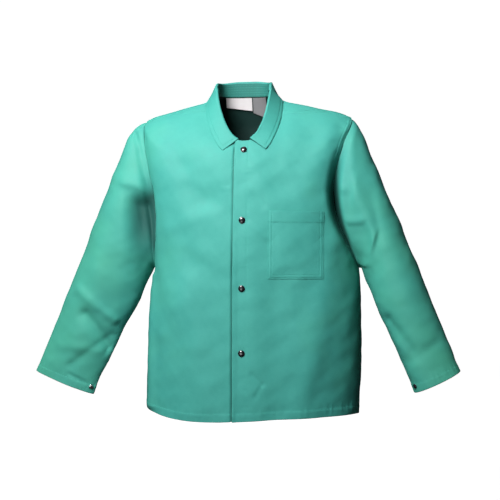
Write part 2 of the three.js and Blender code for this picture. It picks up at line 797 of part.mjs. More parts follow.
function collarMesh() {
  const steps = 36;
  const across = [0, 0.18, 0.36, 0.45, 0.54, 0.62, 0.75, 0.88, 1];
  const middle = [];
  for (let i = 0; i <= steps; i += 1) {
    const share = 0.5 - 0.5 * Math.cos((Math.PI * i) / steps);
    const part = collarSection(mix(i / steps, share, 0.35));
    const bend = collarBend(part);
    middle.push(across.map((s) => collarPointAt(part, bend, s)));
  }
  const outside = [];
  const inside = [];
  for (let j = 0; j <= steps; j += 1) {
    const outer = [];
    const inner = [];
    for (let i = 0; i < across.length; i += 1) {
      const before = middle[Math.max(0, j - 1)][i];
      const after = middle[Math.min(steps, j + 1)][i];
      const lower = middle[j][Math.max(0, i - 1)];
      const upper = middle[j][Math.min(across.length - 1, i + 1)];
      const out = after.clone().sub(before).cross(upper.clone().sub(lower)).normalize();
      outer.push(middle[j][i].clone().addScaledVector(out, collarCloth / 2));
      inner.push(middle[j][i].clone().addScaledVector(out, -collarCloth / 2));
    }
    outside.push(outer);
    inside.push(inner);
  }
  return mesh("collar", wall(outside, inside), green);
}

// A round snap part standing on a point, with its axis along a direction
function roundPart(name, profile, sides, point, axis, material) {
  const geometry = new THREE.LatheGeometry(profile, sides);
  const made = mesh(name, geometry, material);
  made.position.copy(point);
  made.quaternion.setFromUnitVectors(new THREE.Vector3(0, 1, 0), axis);
  return made;
}

function capProfile(diameter, height) {
  const radius = diameter / 2;
  return [
    new THREE.Vector2(0, 0),
    new THREE.Vector2(0.94 * radius, 0),
    new THREE.Vector2(radius, 0.24 * height),
    new THREE.Vector2(0.86 * radius, 0.62 * height),
    new THREE.Vector2(0.5 * radius, 0.92 * height),
    new THREE.Vector2(0, height),
  ];
}

function studProfile(diameter, height) {
  const radius = diameter / 2;
  return [
    new THREE.Vector2(0, 0),
    new THREE.Vector2(radius, 0),
    new THREE.Vector2(radius, 0.35 * height),
    new THREE.Vector2(0.55 * radius, 0.5 * height),
    new THREE.Vector2(0.5 * radius, height),
    new THREE.Vector2(0, height),
  ];
}

// The seat of a round part on the centre front, outside (side 1) or inside (side -1), where its
// whole rim stands off the surface by at least a gap
function seatOn(surface, height, diameter, side, gap) {
  const centre = seenAt(surface, 0, height, 0, 0.5);
  const axis = centre.out.clone().multiplyScalar(side);
  let rise = 0;
  for (let i = 0; i < snapSides; i += 1) {
    const angle = (2 * Math.PI * i) / snapSides;
    const x = (diameter / 2) * Math.cos(angle);
    const rim = seenAt(surface, x, height + (diameter / 2) * Math.sin(angle), 0, 0.5);
    rise = Math.max(rise, rim.point.sub(centre.point).dot(axis));
  }
  return { point: centre.point.addScaledVector(axis, rise + gap), axis };
}

// Heights of the front snaps, down from the neck points, as shares of the body's length
const snapHeights = [0.178, 0.395, 0.601, 0.796];

function frontSnaps() {
  const capShape = capProfile(snapDiameter, snapHeight);
  const studShape = studProfile(studDiameter, studHeight);
  return snapHeights.flatMap((share, i) => {
    const height = -share * bodyLength;
    const cap = seatOn(leftFrontSurface, height, snapDiameter, 1, seamGap);
    const stud = seatOn(bodySurface, height, studDiameter, -1, 2 * cloth + 1.5 * seamGap);
    return [
      roundPart("snap_cap_" + (i + 1), capShape, snapSides, cap.point, cap.axis, darkSnap),
      roundPart("snap_stud_" + (i + 1), studShape, snapSides, stud.point, stud.axis, metalSnap),
    ];
  });
}

// The snap of each cuff, at round on the sleeve, just above the cuff's edge
function cuffSnap(name, round, material) {
  const w = 1 - (0.75 * cuffDepth) / sleeveLength;
  const surface = (r, s) => foldedSleeve(name, r, s);
  const out = facing(surface, round, w).multiplyScalar(sleeves[name].sign);
  const seat = surface(round, w).addScaledVector(out, 1.5 * seamGap);
  const profile = capProfile(cuffSnapDiameter, 0.8 * snapHeight);
  return roundPart(name + "_cuff_snap", profile, snapSides, seat, out, material);
}

const coat = new THREE.Group();
coat.add(
  backPanel(),
  leftFront(),
  rightFront(),
  sleeveMesh("left"),
  sleeveMesh("right"),
  collarMesh(),
  breastPocket(),
  neckLabel("maker_label", makerLabelStart, makerLabelWidth, makerLabelHeight, whiteLabel),
  neckLabel("care_label", careLabelStart, careLabelWidth, careLabelHeight, greyLabel),
  ...frontSnaps(),
  cuffSnap("right", degrees(155), metalSnap),
  cuffSnap("left", degrees(150), darkSnap),
);

export default coat;
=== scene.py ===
"""A welding coat of flame-resistant cotton sateen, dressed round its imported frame.

The cloth is worked out with numpy from the same sizes as the frame's solids, in metres. +Z is up,
the front faces -Y and the wearer's left is +X.
"""
import math
from collections import namedtuple

import bpy
import numpy as np
from bpy.props import FloatProperty, FloatVectorProperty, PointerProperty
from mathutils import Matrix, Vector


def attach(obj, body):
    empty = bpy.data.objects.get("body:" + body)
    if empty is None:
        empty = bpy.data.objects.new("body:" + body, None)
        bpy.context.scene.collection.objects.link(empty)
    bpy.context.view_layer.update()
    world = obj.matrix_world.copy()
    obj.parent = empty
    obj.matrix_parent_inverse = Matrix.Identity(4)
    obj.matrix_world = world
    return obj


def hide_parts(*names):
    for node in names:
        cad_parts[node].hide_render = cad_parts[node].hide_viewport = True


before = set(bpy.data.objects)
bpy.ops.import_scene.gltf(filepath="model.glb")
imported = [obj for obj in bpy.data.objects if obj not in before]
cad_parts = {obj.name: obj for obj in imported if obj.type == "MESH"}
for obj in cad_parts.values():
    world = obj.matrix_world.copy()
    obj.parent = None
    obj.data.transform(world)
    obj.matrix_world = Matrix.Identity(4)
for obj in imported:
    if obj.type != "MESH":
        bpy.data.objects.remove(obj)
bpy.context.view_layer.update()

bl_info = {
    "name": "Welding coat",
    "version": (1, 0, 0),
    "blender": (4, 5, 0),
    "location": "View3D > Sidebar > Coat",
    "description": "Dresses the packed frame of a welding coat in its cloth, stitches and snaps",
    "category": "Add Mesh",
}

RIGHT_ANGLE = math.pi / 2

# The body's v of the armpit and of the shoulder tip, from 0 at the hem to 1 at the neck
ARMPIT = 0.36
TIP = 0.77

# A short step of a surface's parameters, for its slopes
STEP = 1e-3


# Properties


def size(name, about, default):
    """A length that the user may set."""
    return FloatProperty(name=name, description=about, default=default, unit="LENGTH", precision=4)


def share(name, about, default):
    """A plain number that the user may set."""
    return FloatProperty(name=name, description=about, default=default, precision=3)


def colour(name, about, default):
    """A colour that the user may set."""
    return FloatVectorProperty(
        name=name, description=about, default=default, subtype="COLOR", size=3, min=0, max=1
    )


class CoatBodySizes(bpy.types.PropertyGroup):
    """Sizes of the coat's body"""

    cloth: size("Cloth", "Thickness of the sateen's wall", 0.0014)
    gap: size("Gap", "Gap between pieces that are sewn together", 0.0004)
    length: size("Length", "From the neck points down to the hem", 0.735)
    armhole_depth: size("Armhole depth", "From the shoulder tip down to the armpit", 0.349)
    shoulder_drop: size("Shoulder drop", "From the neck point down to the shoulder tip", 0.048)
    shoulder_half_width: size("Shoulder half width", "Half the width across the shoulders", 0.25)
    chest_half_width: size("Chest half width", "Half the width across the chest", 0.24)
    hem_half_width: size("Hem half width", "Half the width across the hem", 0.25)
    hem_sag: size("Hem sag", "How unevenly the front of the hem hangs", 0.007)
    hem_rise: size("Hem rise", "How much higher the hem is at the wearer's right", 0.02)
    hem_depth: size("Hem depth", "Depth of the turned-up hem", 0.018)
    chest_front: size("Chest front", "How far the chest reaches forward", 0.134)
    chest_back: size("Chest back", "How far the back reaches back", 0.125)
    neck_half_width: size("Neck half width", "Half the width of the neck opening", 0.07)
    neck_front: size("Neck front", "How far the neck opening reaches forward", 0.086)
    neck_back: size("Neck back", "How far the neck opening reaches back", 0.06)
    neck_drop: size("Neck drop", "How far the neck opening drops at the front", 0.11)
    neck_rise: size("Neck rise", "How far the neck seam rises at the back", 0.017)
    neck_shift: size("Neck shift", "How far the neck opening is off to the wearer's right", 0.008)
    front_lap: size("Front lap", "How far each front reaches past the centre", 0.02)


class CoatSleeveSizes(bpy.types.PropertyGroup):
    """Sizes of the sleeves"""

    length: size("Length", "From the shoulder tip to the cuff", 0.65)
    depth: size("Depth", "Half the depth of the sleeve at the upper arm", 0.072)
    cuff_width: size("Cuff width", "Flat width of the cuff", 0.141)
    cuff_depth: size("Cuff depth", "Depth of the turned cuff", 0.016)
    cap_reach: size("Cap reach", "How soon the cap rounds over the shoulder", 0.02)
    underarm_reach: size("Underarm reach", "How far the underarm stands off the side", 0.009)


class CoatCollarSizes(bpy.types.PropertyGroup):
    """Sizes of the collar"""

    cloth: size("Cloth", "Thickness of the double cloth", 0.002)
    back_stand: size("Stand", "Height of the stand at the back", 0.032)
    back_fall: size("Fall", "Width of the fall at the back", 0.04)
    lean: share("Lean", "How far the stand leans in, as a share of its height", 0.2)
    point: size("Point", "Length of the collar's front edge", 0.04)
    spread: size("Spread", "How far the point reaches past the front end", 0.021)
    roll: size("Roll", "Radius of the roll between the stand and the fall", 0.0026)


class CoatTrimSizes(bpy.types.PropertyGroup):
    """Sizes of the pocket, the labels, the snaps and the thread"""

    pocket_width: size("Pocket width", "Width of the breast pocket", 0.122)
    pocket_height: size("Pocket height", "Height of the breast pocket", 0.15)
    pocket_drop: size("Pocket drop", "From the neck points down to the pocket", 0.27)
    pocket_offset: size("Pocket offset", "From the centre out to the pocket", 0.058)
    label_cloth: size("Label cloth", "Thickness of the labels", 0.0008)
    label_drop: size("Label drop", "From the neck seam down to the labels", 0.002)
    maker_label_start: size("White label place", "From the centre to the white label", -0.062)
    maker_label_width: size("White label width", "Width of the white label", 0.063)
    maker_label_height: size("White label height", "Height of the white label", 0.026)
    care_label_start: size("Grey label place", "From the centre to the grey label", 0.004)
    care_label_width: size("Grey label width", "Width of the grey label", 0.033)
    care_label_height: size("Grey label height", "Height of the grey label", 0.042)
    snap_diameter: size("Snap diameter", "Diameter of the front snaps' caps", 0.015)
    snap_height: size("Snap height", "Height of the front snaps' caps", 0.0034)
    stud_diameter: size("Stud diameter", "Diameter of the studs inside the lap", 0.011)
    stud_height: size("Stud height", "Height of the studs inside the lap", 0.0022)
    cuff_snap_diameter: size("Cuff snap diameter", "Diameter of the cuffs' snaps", 0.011)
    stitch: size("Stitch", "Length of one stitch", 0.0031)
    stitch_step: size("Stitch step", "From one stitch to the next", 0.0038)
    thread: size("Thread", "Thickness of the sewing thread", 0.00065)


class CoatColours(bpy.types.PropertyGroup):
    """Colours of the coat"""

    sateen: colour("Sateen", "The dyed cloth", (0.05, 0.35, 0.3))
    faded: colour("Faded", "The cloth where it is rubbed", (0.09, 0.47, 0.39))
    # The greener colour is mixed in towards the sides of the coat, in cloudy patches.
    greener: colour("Greener", "The cloth where the dye took more yellow", (0.065, 0.39, 0.27))
    thread: colour("Thread", "The sewing thread", (0.06, 0.42, 0.34))
    white_label: colour("White label", "The white neck tape", (0.85, 0.81, 0.82))
    grey_label: colour("Grey label", "The grey neck tape", (0.25, 0.25, 0.26))
    enamel: colour("Enamel", "The black snaps", (0.005, 0.005, 0.007))
    nickel: colour("Nickel", "The bright snaps and studs", (0.56, 0.56, 0.57))
    floor: colour("Floor", "The pale stage", (0.86, 0.86, 0.86))


class CoatSettings(bpy.types.PropertyGroup):
    """Everything about the coat that a user may change"""

    body: PointerProperty(type=CoatBodySizes)
    sleeve: PointerProperty(type=CoatSleeveSizes)
    collar: PointerProperty(type=CoatCollarSizes)
    trim: PointerProperty(type=CoatTrimSizes)
    colours: PointerProperty(type=CoatColours)


# Arithmetic on whole arrays


def mix(low, high, part):
    """The value that lies a part of the way from low to high."""
    return low + (high - low) * part


def ease(value):
    """A smooth step from 0 to 1 as the value goes from 0 to 1."""
    held = np.clip(value, 0, 1)
    return held * held * (3 - 2 * held)


def hump(value):
    """A rounded hump, 1 at 0, that has died away by 2 on both sides."""
    return np.exp(-np.square(value))


def unit(vectors):
    """The vectors at length 1."""
    return vectors / np.maximum(np.linalg.norm(vectors, axis=-1, keepdims=True), 1e-12)


def dot(first, second):
    """The scalar product of each pair of vectors."""
    return (first * second).sum(axis=-1)


def curve(knots, values):
    """A smooth curve through the values at the knots, each span a cubic with the mean slopes."""
    knots, values = np.asarray(knots, float), np.asarray(values, float)
    last = len(knots) - 1
    before = np.maximum(np.arange(last + 1) - 1, 0)
    after = np.minimum(np.arange(last + 1) + 1, last)
    slopes = (values[after] - values[before]) / (knots[after] - knots[before])

    def at(place):
        i = np.searchsorted(knots[1:-1], place, side="left")
        span = knots[i + 1] - knots[i]
        t = (place - knots[i]) / span
        rise = values[i + 1] - values[i]
        start = slopes[i] * span - rise
        end = rise - slopes[i + 1] * span
        return values[i] + rise * t + t * (1 - t) * (start * (1 - t) + end * t)

    return at


def facing(surface, turn, v):
    """The direction off a surface of two parameters, from short steps along both."""
    low, high = np.maximum(v - STEP, 0), np.minimum(v + STEP, 1)
    across = surface(turn + STEP, v) - surface(turn - STEP, v)
    return unit(np.cross(across, surface(turn, high) - surface(turn, low)))


def superellipse(s, c, square):
    """How far a superellipse reaches in the direction of a sine and a cosine: the sum of their
    powers, to the power of minus one over the exponent."""
    return (np.abs(s) ** square + np.abs(c) ** square) ** (-1 / square)


def steps_to(off, across, up):
    """How far to go in both parameters of a surface to cover an offset, by least squares, from the
    slopes of the surface."""
    a, b, c = dot(across, across), dot(across, up), dot(up, up)
    p, q = dot(off, across), dot(off, up)
    scale = a * c - b * b
    return (p * c - q * b) / scale, (q * a - p * b) / scale


def ripple(points, seed, wave, amount):
    """Even undulation: plane waves of about one length, with seeded directions and phases."""
    random = np.random.default_rng(seed)
    count = 9
    total = 0
    for _ in range(count):
        pull = unit(random.normal(size=3)) * 2 * math.pi / (wave * random.uniform(0.7, 1.5))
        total = total + np.sin(points @ pull + random.uniform(0, 2 * math.pi))
    return amount * total / math.sqrt(count)


def rippled(points, rows):
    """The sum of several ripples, each given by its seed, its wave and its amount."""
    return sum(ripple(points, *row) for row in rows)


def pucker(along, seed, wave):
    """Uneven gathers along a seam: waves of about one length in the way along it."""
    random = np.random.default_rng(seed)
    total = 0
    stretches = (0.6, 0.83, 1.0, 1.37, 2.1)
    for stretch in stretches:
        phase = random.uniform(0, 2 * math.pi)
        total = total + np.sin(along * 2 * math.pi / (wave * stretch) + phase)
    return total / len(stretches)


def nearest(points, line):
    """How far each point is from a line of close points, and how far along the line that is."""
    steps = np.linalg.norm(np.diff(line, axis=0), axis=1)
    along = np.concatenate([[0], np.cumsum(steps)])
    flat = points.reshape(-1, 3)
    place = np.empty(len(flat), int)
    block_size = 8000
    for block in np.array_split(np.arange(len(flat)), max(1, len(flat) // block_size)):
        square = (line**2).sum(axis=1) - 2 * flat[block] @ line.T
        place[block] = square.argmin(axis=1)
    away = flat - line[place]
    tangent = unit(np.gradient(line, axis=0))[place]
    slide = np.clip(dot(away, tangent), -steps.max(), steps.max())
    distance = np.linalg.norm(away - slide[:, None] * tangent, axis=1)
    return distance.reshape(points.shape[:-1]), (along[place] + slide).reshape(points.shape[:-1])


def spaced(line, step, *others):
    """Points a step apart along a line, with what goes with them, such as their directions."""
    along = np.concatenate([[0], np.cumsum(np.linalg.norm(np.diff(line, axis=0), axis=1))])
    at = np.linspace(0, along[-1], max(2, int(along[-1] / step) + 1))
    return [np.stack([np.interp(at, along, a[:, k]) for k in range(3)], 1) for a in (line, *others)]


# The form of the coat


Fold = namedtuple("Fold", "face from_x from_z to_x to_z width height")
Crease = namedtuple("Crease", "from_x from_z to_x to_z left right height")
SleeveFold = namedtuple("SleeveFold", "from_round from_w to_round to_w width height")
Arm = namedtuple(
    "Arm", "sign front front_top back back_top lean tilt cap_rise span forward reach open"
)
Seam = namedtuple("Seam", "line band lift rows gather wave")

# Folds seen from the front or the back: x and widths and heights are shares of the chest's half
# width, z is a share of the body's length
BODY_FOLDS = [
    Fold("front", -0.72, -0.13, -0.35, -0.32, 0.16, -0.03),
    Fold("front", 0.66, -0.14, 0.4, -0.28, 0.14, -0.022),
    Fold("front", -0.91, -0.57, -0.9, -0.97, 0.045, 0.03),
    Fold("front", -0.55, -0.62, -0.3, -0.95, 0.17, 0.018),
    Fold("front", -0.7, -0.42, -0.2, -0.36, 0.08, 0.012),
    Fold("front", 0.85, -0.46, 0.55, -0.98, 0.12, 0.02),
    Fold("front", 0.3, -0.62, 0.32, -0.99, 0.16, -0.014),
    Fold("front", 0.08, -0.26, 0.32, -0.21, 0.07, -0.007),
    Fold("back", -0.75, -0.3, -0.45, -0.95, 0.16, 0.03),
    Fold("back", 0.75, -0.3, 0.5, -0.95, 0.16, 0.03),
    Fold("back", -0.1, -0.35, 0.05, -0.98, 0.22, -0.028),
    Fold("back", -0.5, -0.12, 0.5, -0.12, 0.12, -0.014),
]

# Smaller creases, which only the finished cloth has, in metres as seen from the front: a crease
# falls off over one width on its left, looking along it, and over another on its right
FRONT_CREASES = {
    "right_sleeve": [
        Crease(-0.28, -0.2, -0.226, -0.208, 0.022, 0.01, 0.004),
        Crease(-0.266, -0.08, -0.243, -0.126, 0.006, 0.009, -0.006),
        Crease(-0.243, -0.126, -0.226, -0.2, 0.006, 0.012, -0.009),
        Crease(-0.31, -0.2, -0.35, -0.4, 0.03, 0.03, 0.004),
        Crease(-0.35, -0.4, -0.404, -0.568, 0.03, 0.03, 0.003),
        Crease(-0.319, -0.557, -0.416, -0.627, 0.012, 0.01, -0.003),
        Crease(-0.442, -0.58, -0.347, -0.592, 0.014, 0.014, 0.0025),
        Crease(-0.417, -0.65, -0.383, -0.668, 0.006, 0.006, -0.0015),
    ],
    "left_sleeve": [
        Crease(0.243, -0.075, 0.243, -0.198, 0.012, 0.012, 0.003),
        Crease(0.21, -0.214, 0.224, -0.222, 0.012, 0.004, 0.003),
        Crease(0.283, -0.163, 0.3, -0.4, 0.014, 0.02, -0.002),
        Crease(0.236, -0.293, 0.262, -0.293, 0.012, 0.005, 0.003),
        Crease(0.255, -0.381, 0.272, -0.39, 0.01, 0.005, 0.003),
        Crease(0.3, -0.48, 0.35, -0.55, 0.02, 0.02, 0.0025),
        Crease(0.43, -0.56, 0.37, -0.6, 0.014, 0.014, -0.0025),
    ],
    "right_front": [
        Crease(-0.23, -0.061, -0.147, -0.162, 0.025, 0.03, -0.004),
        Crease(-0.126, -0.22, -0.028, -0.278, 0.02, 0.03, -0.0035),
        Crease(-0.119, -0.378, -0.06, -0.412, 0.02, 0.03, -0.003),
        Crease(-0.129, -0.468, -0.094, -0.568, 0.02, 0.03, 0.0025),
        Crease(-0.047, -0.219, -0.029, -0.219, 0.004, 0.003, 0.0012),
    ],
    "left_front": [
        Crease(0.22, -0.075, 0.206, -0.108, 0.01, 0.014, -0.003),
        Crease(0.022, -0.236, 0.044, -0.256, 0.01, 0.01, -0.002),
        Crease(0.018, -0.298, 0.05, -0.33, 0.006, 0.005, 0.0012),
        Crease(0.024, -0.632, 0.045, -0.654, 0.006, 0.004, -0.0016),
        Crease(0.045, -0.654, 0.03, -0.68, 0.006, 0.004, -0.0012),
    ],
    "back_panel": [],
}

# The hollow at the front of the wearer's right sleeve, in metres as seen from the front: the cloth
# rolls down into it over a ridge on its left and steps down from a hooked edge above it
Hollow = namedtuple("Hollow", "depth ridge_x width edge_z edge_slope step bottom fade")
HOLLOWS = {"right": Hollow(0.024, -0.294, 0.056, -0.204, -0.14, 0.042, -0.46, 0.2)}

# Folds of each sleeve: round is in right angles, 1 at the front and 2 at the underarm, w is the
# share of the way to the cuff, and widths and heights are shares of the sleeve's depth
SLEEVE_FOLDS = {
    "right": [
        SleeveFold(0.9, 0.74, 1.7, 0.84, 0.2, -0.1),
        SleeveFold(0.6, 0.66, 1.5, 0.72, 0.2, 0.06),
        SleeveFold(3.3, 0.55, 2.4, 0.68, 0.25, -0.1),
        SleeveFold(3.2, 0.2, 2.5, 0.4, 0.3, -0.1),
    ],
    "left": [
        SleeveFold(0.9, 0.1, 1.1, 0.3, 0.25, 0.1),
        SleeveFold(1.6, 0.72, 1.3, 0.86, 0.25, -0.07),
        SleeveFold(3.3, 0.55, 2.4, 0.66, 0.25, -0.1),
        SleeveFold(3.2, 0.2, 2.5, 0.4, 0.3, -0.1),
    ],
}

# Armholes, as turns in degrees, and how each sleeve hangs from its own
ARMS = {
    "right": Arm(-1, 30, -7, 31, -3, 21.2, 21, 0.42, 1.04, 0.06, 1, 0),
    "left": Arm(1, 37, 3, 33, -3, 21.7, 26.5, 0.16, 0.8, 0.11, 0.96, 1),
}

# Half depths of a sleeve from the armhole to the cuff: one that lies flat, and one that stands open
SLEEVE_DEPTHS = np.array([
    (0, 0.94, 1.02),
    (0.12, 1.0, 1.06),
    (0.3, 0.95, 1.05),
    (0.5, 0.78, 0.98),
    (0.7, 0.6, 0.82),
    (0.86, 0.45, 0.67),
    (1, 0.3, 0.55),
])

# The collar from its front end, 0, to the centre back, 1: its stand and its fall
COLLAR_ROWS = np.array([
    (0, 0.05, 1),
    (0.1, 0.17, 0.97),
    (0.25, 0.45, 0.97),
    (0.45, 0.79, 1.04),
    (0.7, 0.83, 1),
    (0.9, 0.985, 1),
    (1, 1, 1),
])

# How far down each front snap is, as a share of the body's length
SNAP_HEIGHTS = (0.178, 0.395, 0.601, 0.796)


def fold_lift(row, x, z, half_width, length):
    """How far a fold lifts the cloth: a rounded ridge along a line, which dies away past its
    ends."""
    start = np.array([row.from_x * half_width, row.from_z * length])
    run = np.array([row.to_x * half_width, row.to_z * length]) - start
    return ridge_lift(row, x - start[0], z - start[1], run, half_width)


def ridge_lift(row, x, z, run, unit_size):
    """The lift of a ridge along run, at x, z from its start."""
    along = np.clip((x * run[0] + z * run[1]) / (run @ run), 0, 1)
    off = np.hypot(x - along * run[0], z - along * run[1])
    return row.height * unit_size * hump(off / (row.width * unit_size))


def crease_lift(rows, x, z):
    """The lift of creases: ridges or valleys along lines, steeper on one side than the other."""
    lift = np.zeros(np.shape(x))
    for row in rows:
        run = np.array([row.to_x - row.from_x, row.to_z - row.from_z])
        off_x, off_z = x - row.from_x, z - row.from_z
        along = np.clip((off_x * run[0] + off_z * run[1]) / (run @ run), 0, 1)
        side = run[0] * off_z - run[1] * off_x
        spread = np.linalg.norm(run) * (row.left + row.right)
        width = mix(row.right, row.left, ease(0.5 + side / spread))
        lift += row.height * hump(np.hypot(off_x - along * run[0], off_z - along * run[1]) / width)
    return lift


def hollow_lift(row, x, z):
    """The lift of a hollow: smooth steps down from its ridge, its edge and its faded bottom."""
    over = row.edge_z + row.edge_slope * (x - row.ridge_x)
    sunk = ease((x - row.ridge_x) / row.width) * ease((over - z) / row.step)
    return -row.depth * sunk * ease((z - row.bottom) / row.fade)


class Cut:
    """The coat's surfaces, as functions of two parameters, from the sizes that the user set."""

    def __init__(self, coat):
        self.body = coat.body
        self.sleeve = coat.sleeve
        self.collar = coat.collar
        self.trim = coat.trim
        self.armpit_height = -self.body.shoulder_drop - self.body.armhole_depth
        self.sections = self.section_curves()
        self.flat_depth = curve(SLEEVE_DEPTHS[:, 0], SLEEVE_DEPTHS[:, 1])
        self.open_depth = curve(SLEEVE_DEPTHS[:, 0], SLEEVE_DEPTHS[:, 2])
        self.stand_share = curve(COLLAR_ROWS[:, 0], COLLAR_ROWS[:, 1])
        self.fall_share = curve(COLLAR_ROWS[:, 0], COLLAR_ROWS[:, 2])
        self.tracks = self.seam_tracks()
        self.lines = {name: self.shell(*track) for name, track in self.tracks.items()}

    def below(self, part):
        """The side, front and back height of a level section under the armpit."""
        return (mix(self.armpit_height, -self.body.length, part),) * 3

    def above(self, side, front, back):
        """Heights over the armpit, as shares of the way to the shoulder tip and to the neck."""
        b = self.body
        return (
            mix(self.armpit_height, -b.shoulder_drop, side),
            mix(self.armpit_height, -b.neck_drop, front),
            mix(self.armpit_height, b.neck_rise, back),
        )

    def over(self, side, front, back):
        """Heights over the shoulder, where the side is a share of the way down to the tip."""
        return (-side * self.body.shoulder_drop, *self.above(1, front, back)[1:])

    def section_curves(self):
        """Smooth curves through the body's sections, from the hem, 0, to the neck, 1."""
        b = self.body
        tip = 0.965 * b.shoulder_half_width
        middle = mix(b.neck_half_width, tip, 0.5)
        chest, hem, wide = b.chest_half_width, b.hem_half_width, b.shoulder_half_width
        fore, aft = b.neck_front / b.chest_front, b.neck_back / b.chest_back
        rows = np.array([
            (0, *self.below(1), 0.955 * hem, 1.035 * hem, 1.04, 1.07),
            (0.16, *self.below(0.6), 0.94 * hem, 1.06 * hem, 1.04, 1.05),
            (0.29, *self.below(0.21), 0.94 * chest, 1.1 * chest, 1.02, 1.02),
            (ARMPIT, *self.above(0, 0, 0), 0.915 * chest, 1.075 * chest, 1, 1),
            (0.48, *self.above(0.32, 0.24, 0.2), 0.95 * chest, 1.04 * chest, 0.97, 0.99),
            (0.6, *self.above(0.66, 0.47, 0.43), chest, 1.02 * chest, 0.925, 0.965),
            (0.7, *self.above(0.91, 0.68, 0.64), wide, wide, 0.865, 0.91),
            (TIP, *self.above(1, 0.78, 0.74), tip, tip, 0.82, 0.83),
            (0.88, *self.over(0.42, 0.9, 0.87), middle, middle, 0.735, 0.67),
            (1, *self.over(0, 1, 1), b.neck_half_width, 0.9 * b.neck_half_width, fore, aft),
        ])
        names = ("side", "front", "back", "right", "left", "fore", "aft")
        return {name: curve(rows[:, 0], rows[:, k + 1]) for k, name in enumerate(names)}

    def form(self, turn, v):
        """The plain body: superellipses round the wearer whose height goes from the side's to the
        front's or the back's, with a neck line that drops at the front."""
        b, at = self.body, {name: line(v) for name, line in self.sections.items()}
        s, c = np.sin(turn), np.cos(turn)
        square = 2.45 - 0.25 * s
        reach = superellipse(s, c, square)
        half_width = mix(at["right"], at["left"], 0.5 + 0.5 * s)
        depth = mix(at["aft"] * b.chest_back, at["fore"] * b.chest_front, 0.5 + 0.5 * c)
        toward_neck = ease((v - TIP) / (1 - TIP))
        across = np.minimum(1, np.abs(s) * reach)
        level = 1.12 * np.abs(c) / (np.abs(c) + 0.12)
        neck_line = np.where(c > 0, level * np.sqrt(1 - across**2.2), level)
        rise = mix(c * c, neck_line, toward_neck**1.5)
        centre = np.where(c > 0, at["front"], at["back"])
        shift = -b.neck_shift * toward_neck * (1 - np.maximum(0, c))
        hang = b.hem_sag * 2 * s * np.maximum(0, c) + b.hem_rise * ease(-s) ** 3
        x = half_width * s * reach + shift
        height = mix(at["side"], centre, rise) + hang * ease(1 - v / ARMPIT)
        return np.stack(np.broadcast_arrays(x, -depth * c * reach, height), axis=-1)

    def fold_height(self, points, turn, v, rows):
        """The lift of all the folds of a table, on the face that each belongs to."""
        b, front = self.body, np.cos(turn) > 0
        strength = ease(np.abs(np.cos(turn)) * 4) * ease((1 - v) * 8)
        lift = np.zeros(points.shape[:-1])
        for row in rows:
            on = front == (row.face == "front")
            x, z = points[..., 0], points[..., 2]
            lift += on * fold_lift(row, x, z, b.chest_half_width, b.length)
        return lift * strength

    def shell(self, turn, v):
        """The body with its folds."""
        turn, v = np.broadcast_arrays(turn, v)
        points = self.form(turn, v)
        lift = self.fold_height(points, turn, v, BODY_FOLDS)
        return points + facing(self.form, turn, v) * lift[..., None]

    def round_slope(self, turn, v):
        """How fast the body's point moves as the turn grows."""
        return (self.form(turn + STEP, v) - self.form(turn - STEP, v)) / (2 * STEP)

    def turn_at(self, x, v):
        """The turn at which the body reaches x on its front, by Newton's steps."""
        v = np.asarray(v, float)
        turn = np.zeros_like(v)
        for _ in range(6):
            slope = self.round_slope(turn, v)[..., 0]
            turn = turn + (x - self.form(turn, v)[..., 0]) / slope
        return turn

    def shoulder_seam(self, v):
        """How far the shoulder seam lies forward of the ridge, as a turn: it leaves the tip fast,
        and then grows smoothly to the neck."""
        slow, fast = math.radians(11), math.radians(9)
        way = np.maximum(0, v - TIP) / (1 - TIP)
        return slow * ease(way) + fast * (1 - np.exp(-way / 0.06))

    def gap_turn(self, turn, v, gap):
        """A short distance round the body, as a turn."""
        return gap / np.linalg.norm(self.round_slope(turn, v), axis=-1)

    def armhole_at(self, arm, round_):
        """A point round the armhole, 0 at the tip and a right angle at the front, as turn and v."""
        s, c = np.sin(round_), np.cos(round_)
        cut = np.where(s > 0, arm.front + arm.front_top * c, arm.back + arm.back_top * c)
        return arm.sign * (RIGHT_ANGLE - np.radians(cut) * s), mix(ARMPIT, TIP, 0.5 + 0.5 * c)

    def armhole(self, arm, round_):
        """Points round the armhole."""
        return self.shell(*self.armhole_at(arm, round_))

    def seam_tracks(self):
        """The seams and edges of the body, as the turns and v of close points."""
        count = 240
        low, high = np.linspace(0, ARMPIT, count), np.linspace(TIP, 1, count)
        whole, all_round = np.linspace(0, 1, 2 * count), np.linspace(-math.pi, math.pi, 3 * count)
        tracks = {"neck": (all_round, 0 * all_round + 1), "hem": (all_round, 0 * all_round)}
        for name, arm in ARMS.items():
            side = arm.sign * RIGHT_ANGLE
            closing = self.turn_at(-arm.sign * self.body.front_lap, whole)
            tracks[name + "_armhole"] = self.armhole_at(arm, np.linspace(0, 2 * math.pi, 2 * count))
            tracks[name + "_side"] = (side + 0 * low, low)
            tracks[name + "_shoulder"] = (side - arm.sign * self.shoulder_seam(high), high)
            tracks[name + "_closing"] = (closing, whole)
        return tracks

    def beside(self, turn, v, distance, centre):
        """The turns and v a distance off a line on the body, on the side of a panel's centre."""
        here = self.form(turn, v)
        across = self.round_slope(turn, v)
        low, high = np.maximum(v - STEP, 0), np.minimum(v + STEP, 1)
        up = (self.form(turn, high) - self.form(turn, low)) / (high - low)[:, None]
        away = unit(np.cross(np.cross(across, up), np.gradient(here, axis=0)))
        away = away * (np.sign(dot(away, centre - here)) * distance)[:, None]
        more_turn, more_v = steps_to(away, across, up)
        return turn + more_turn, v + more_v

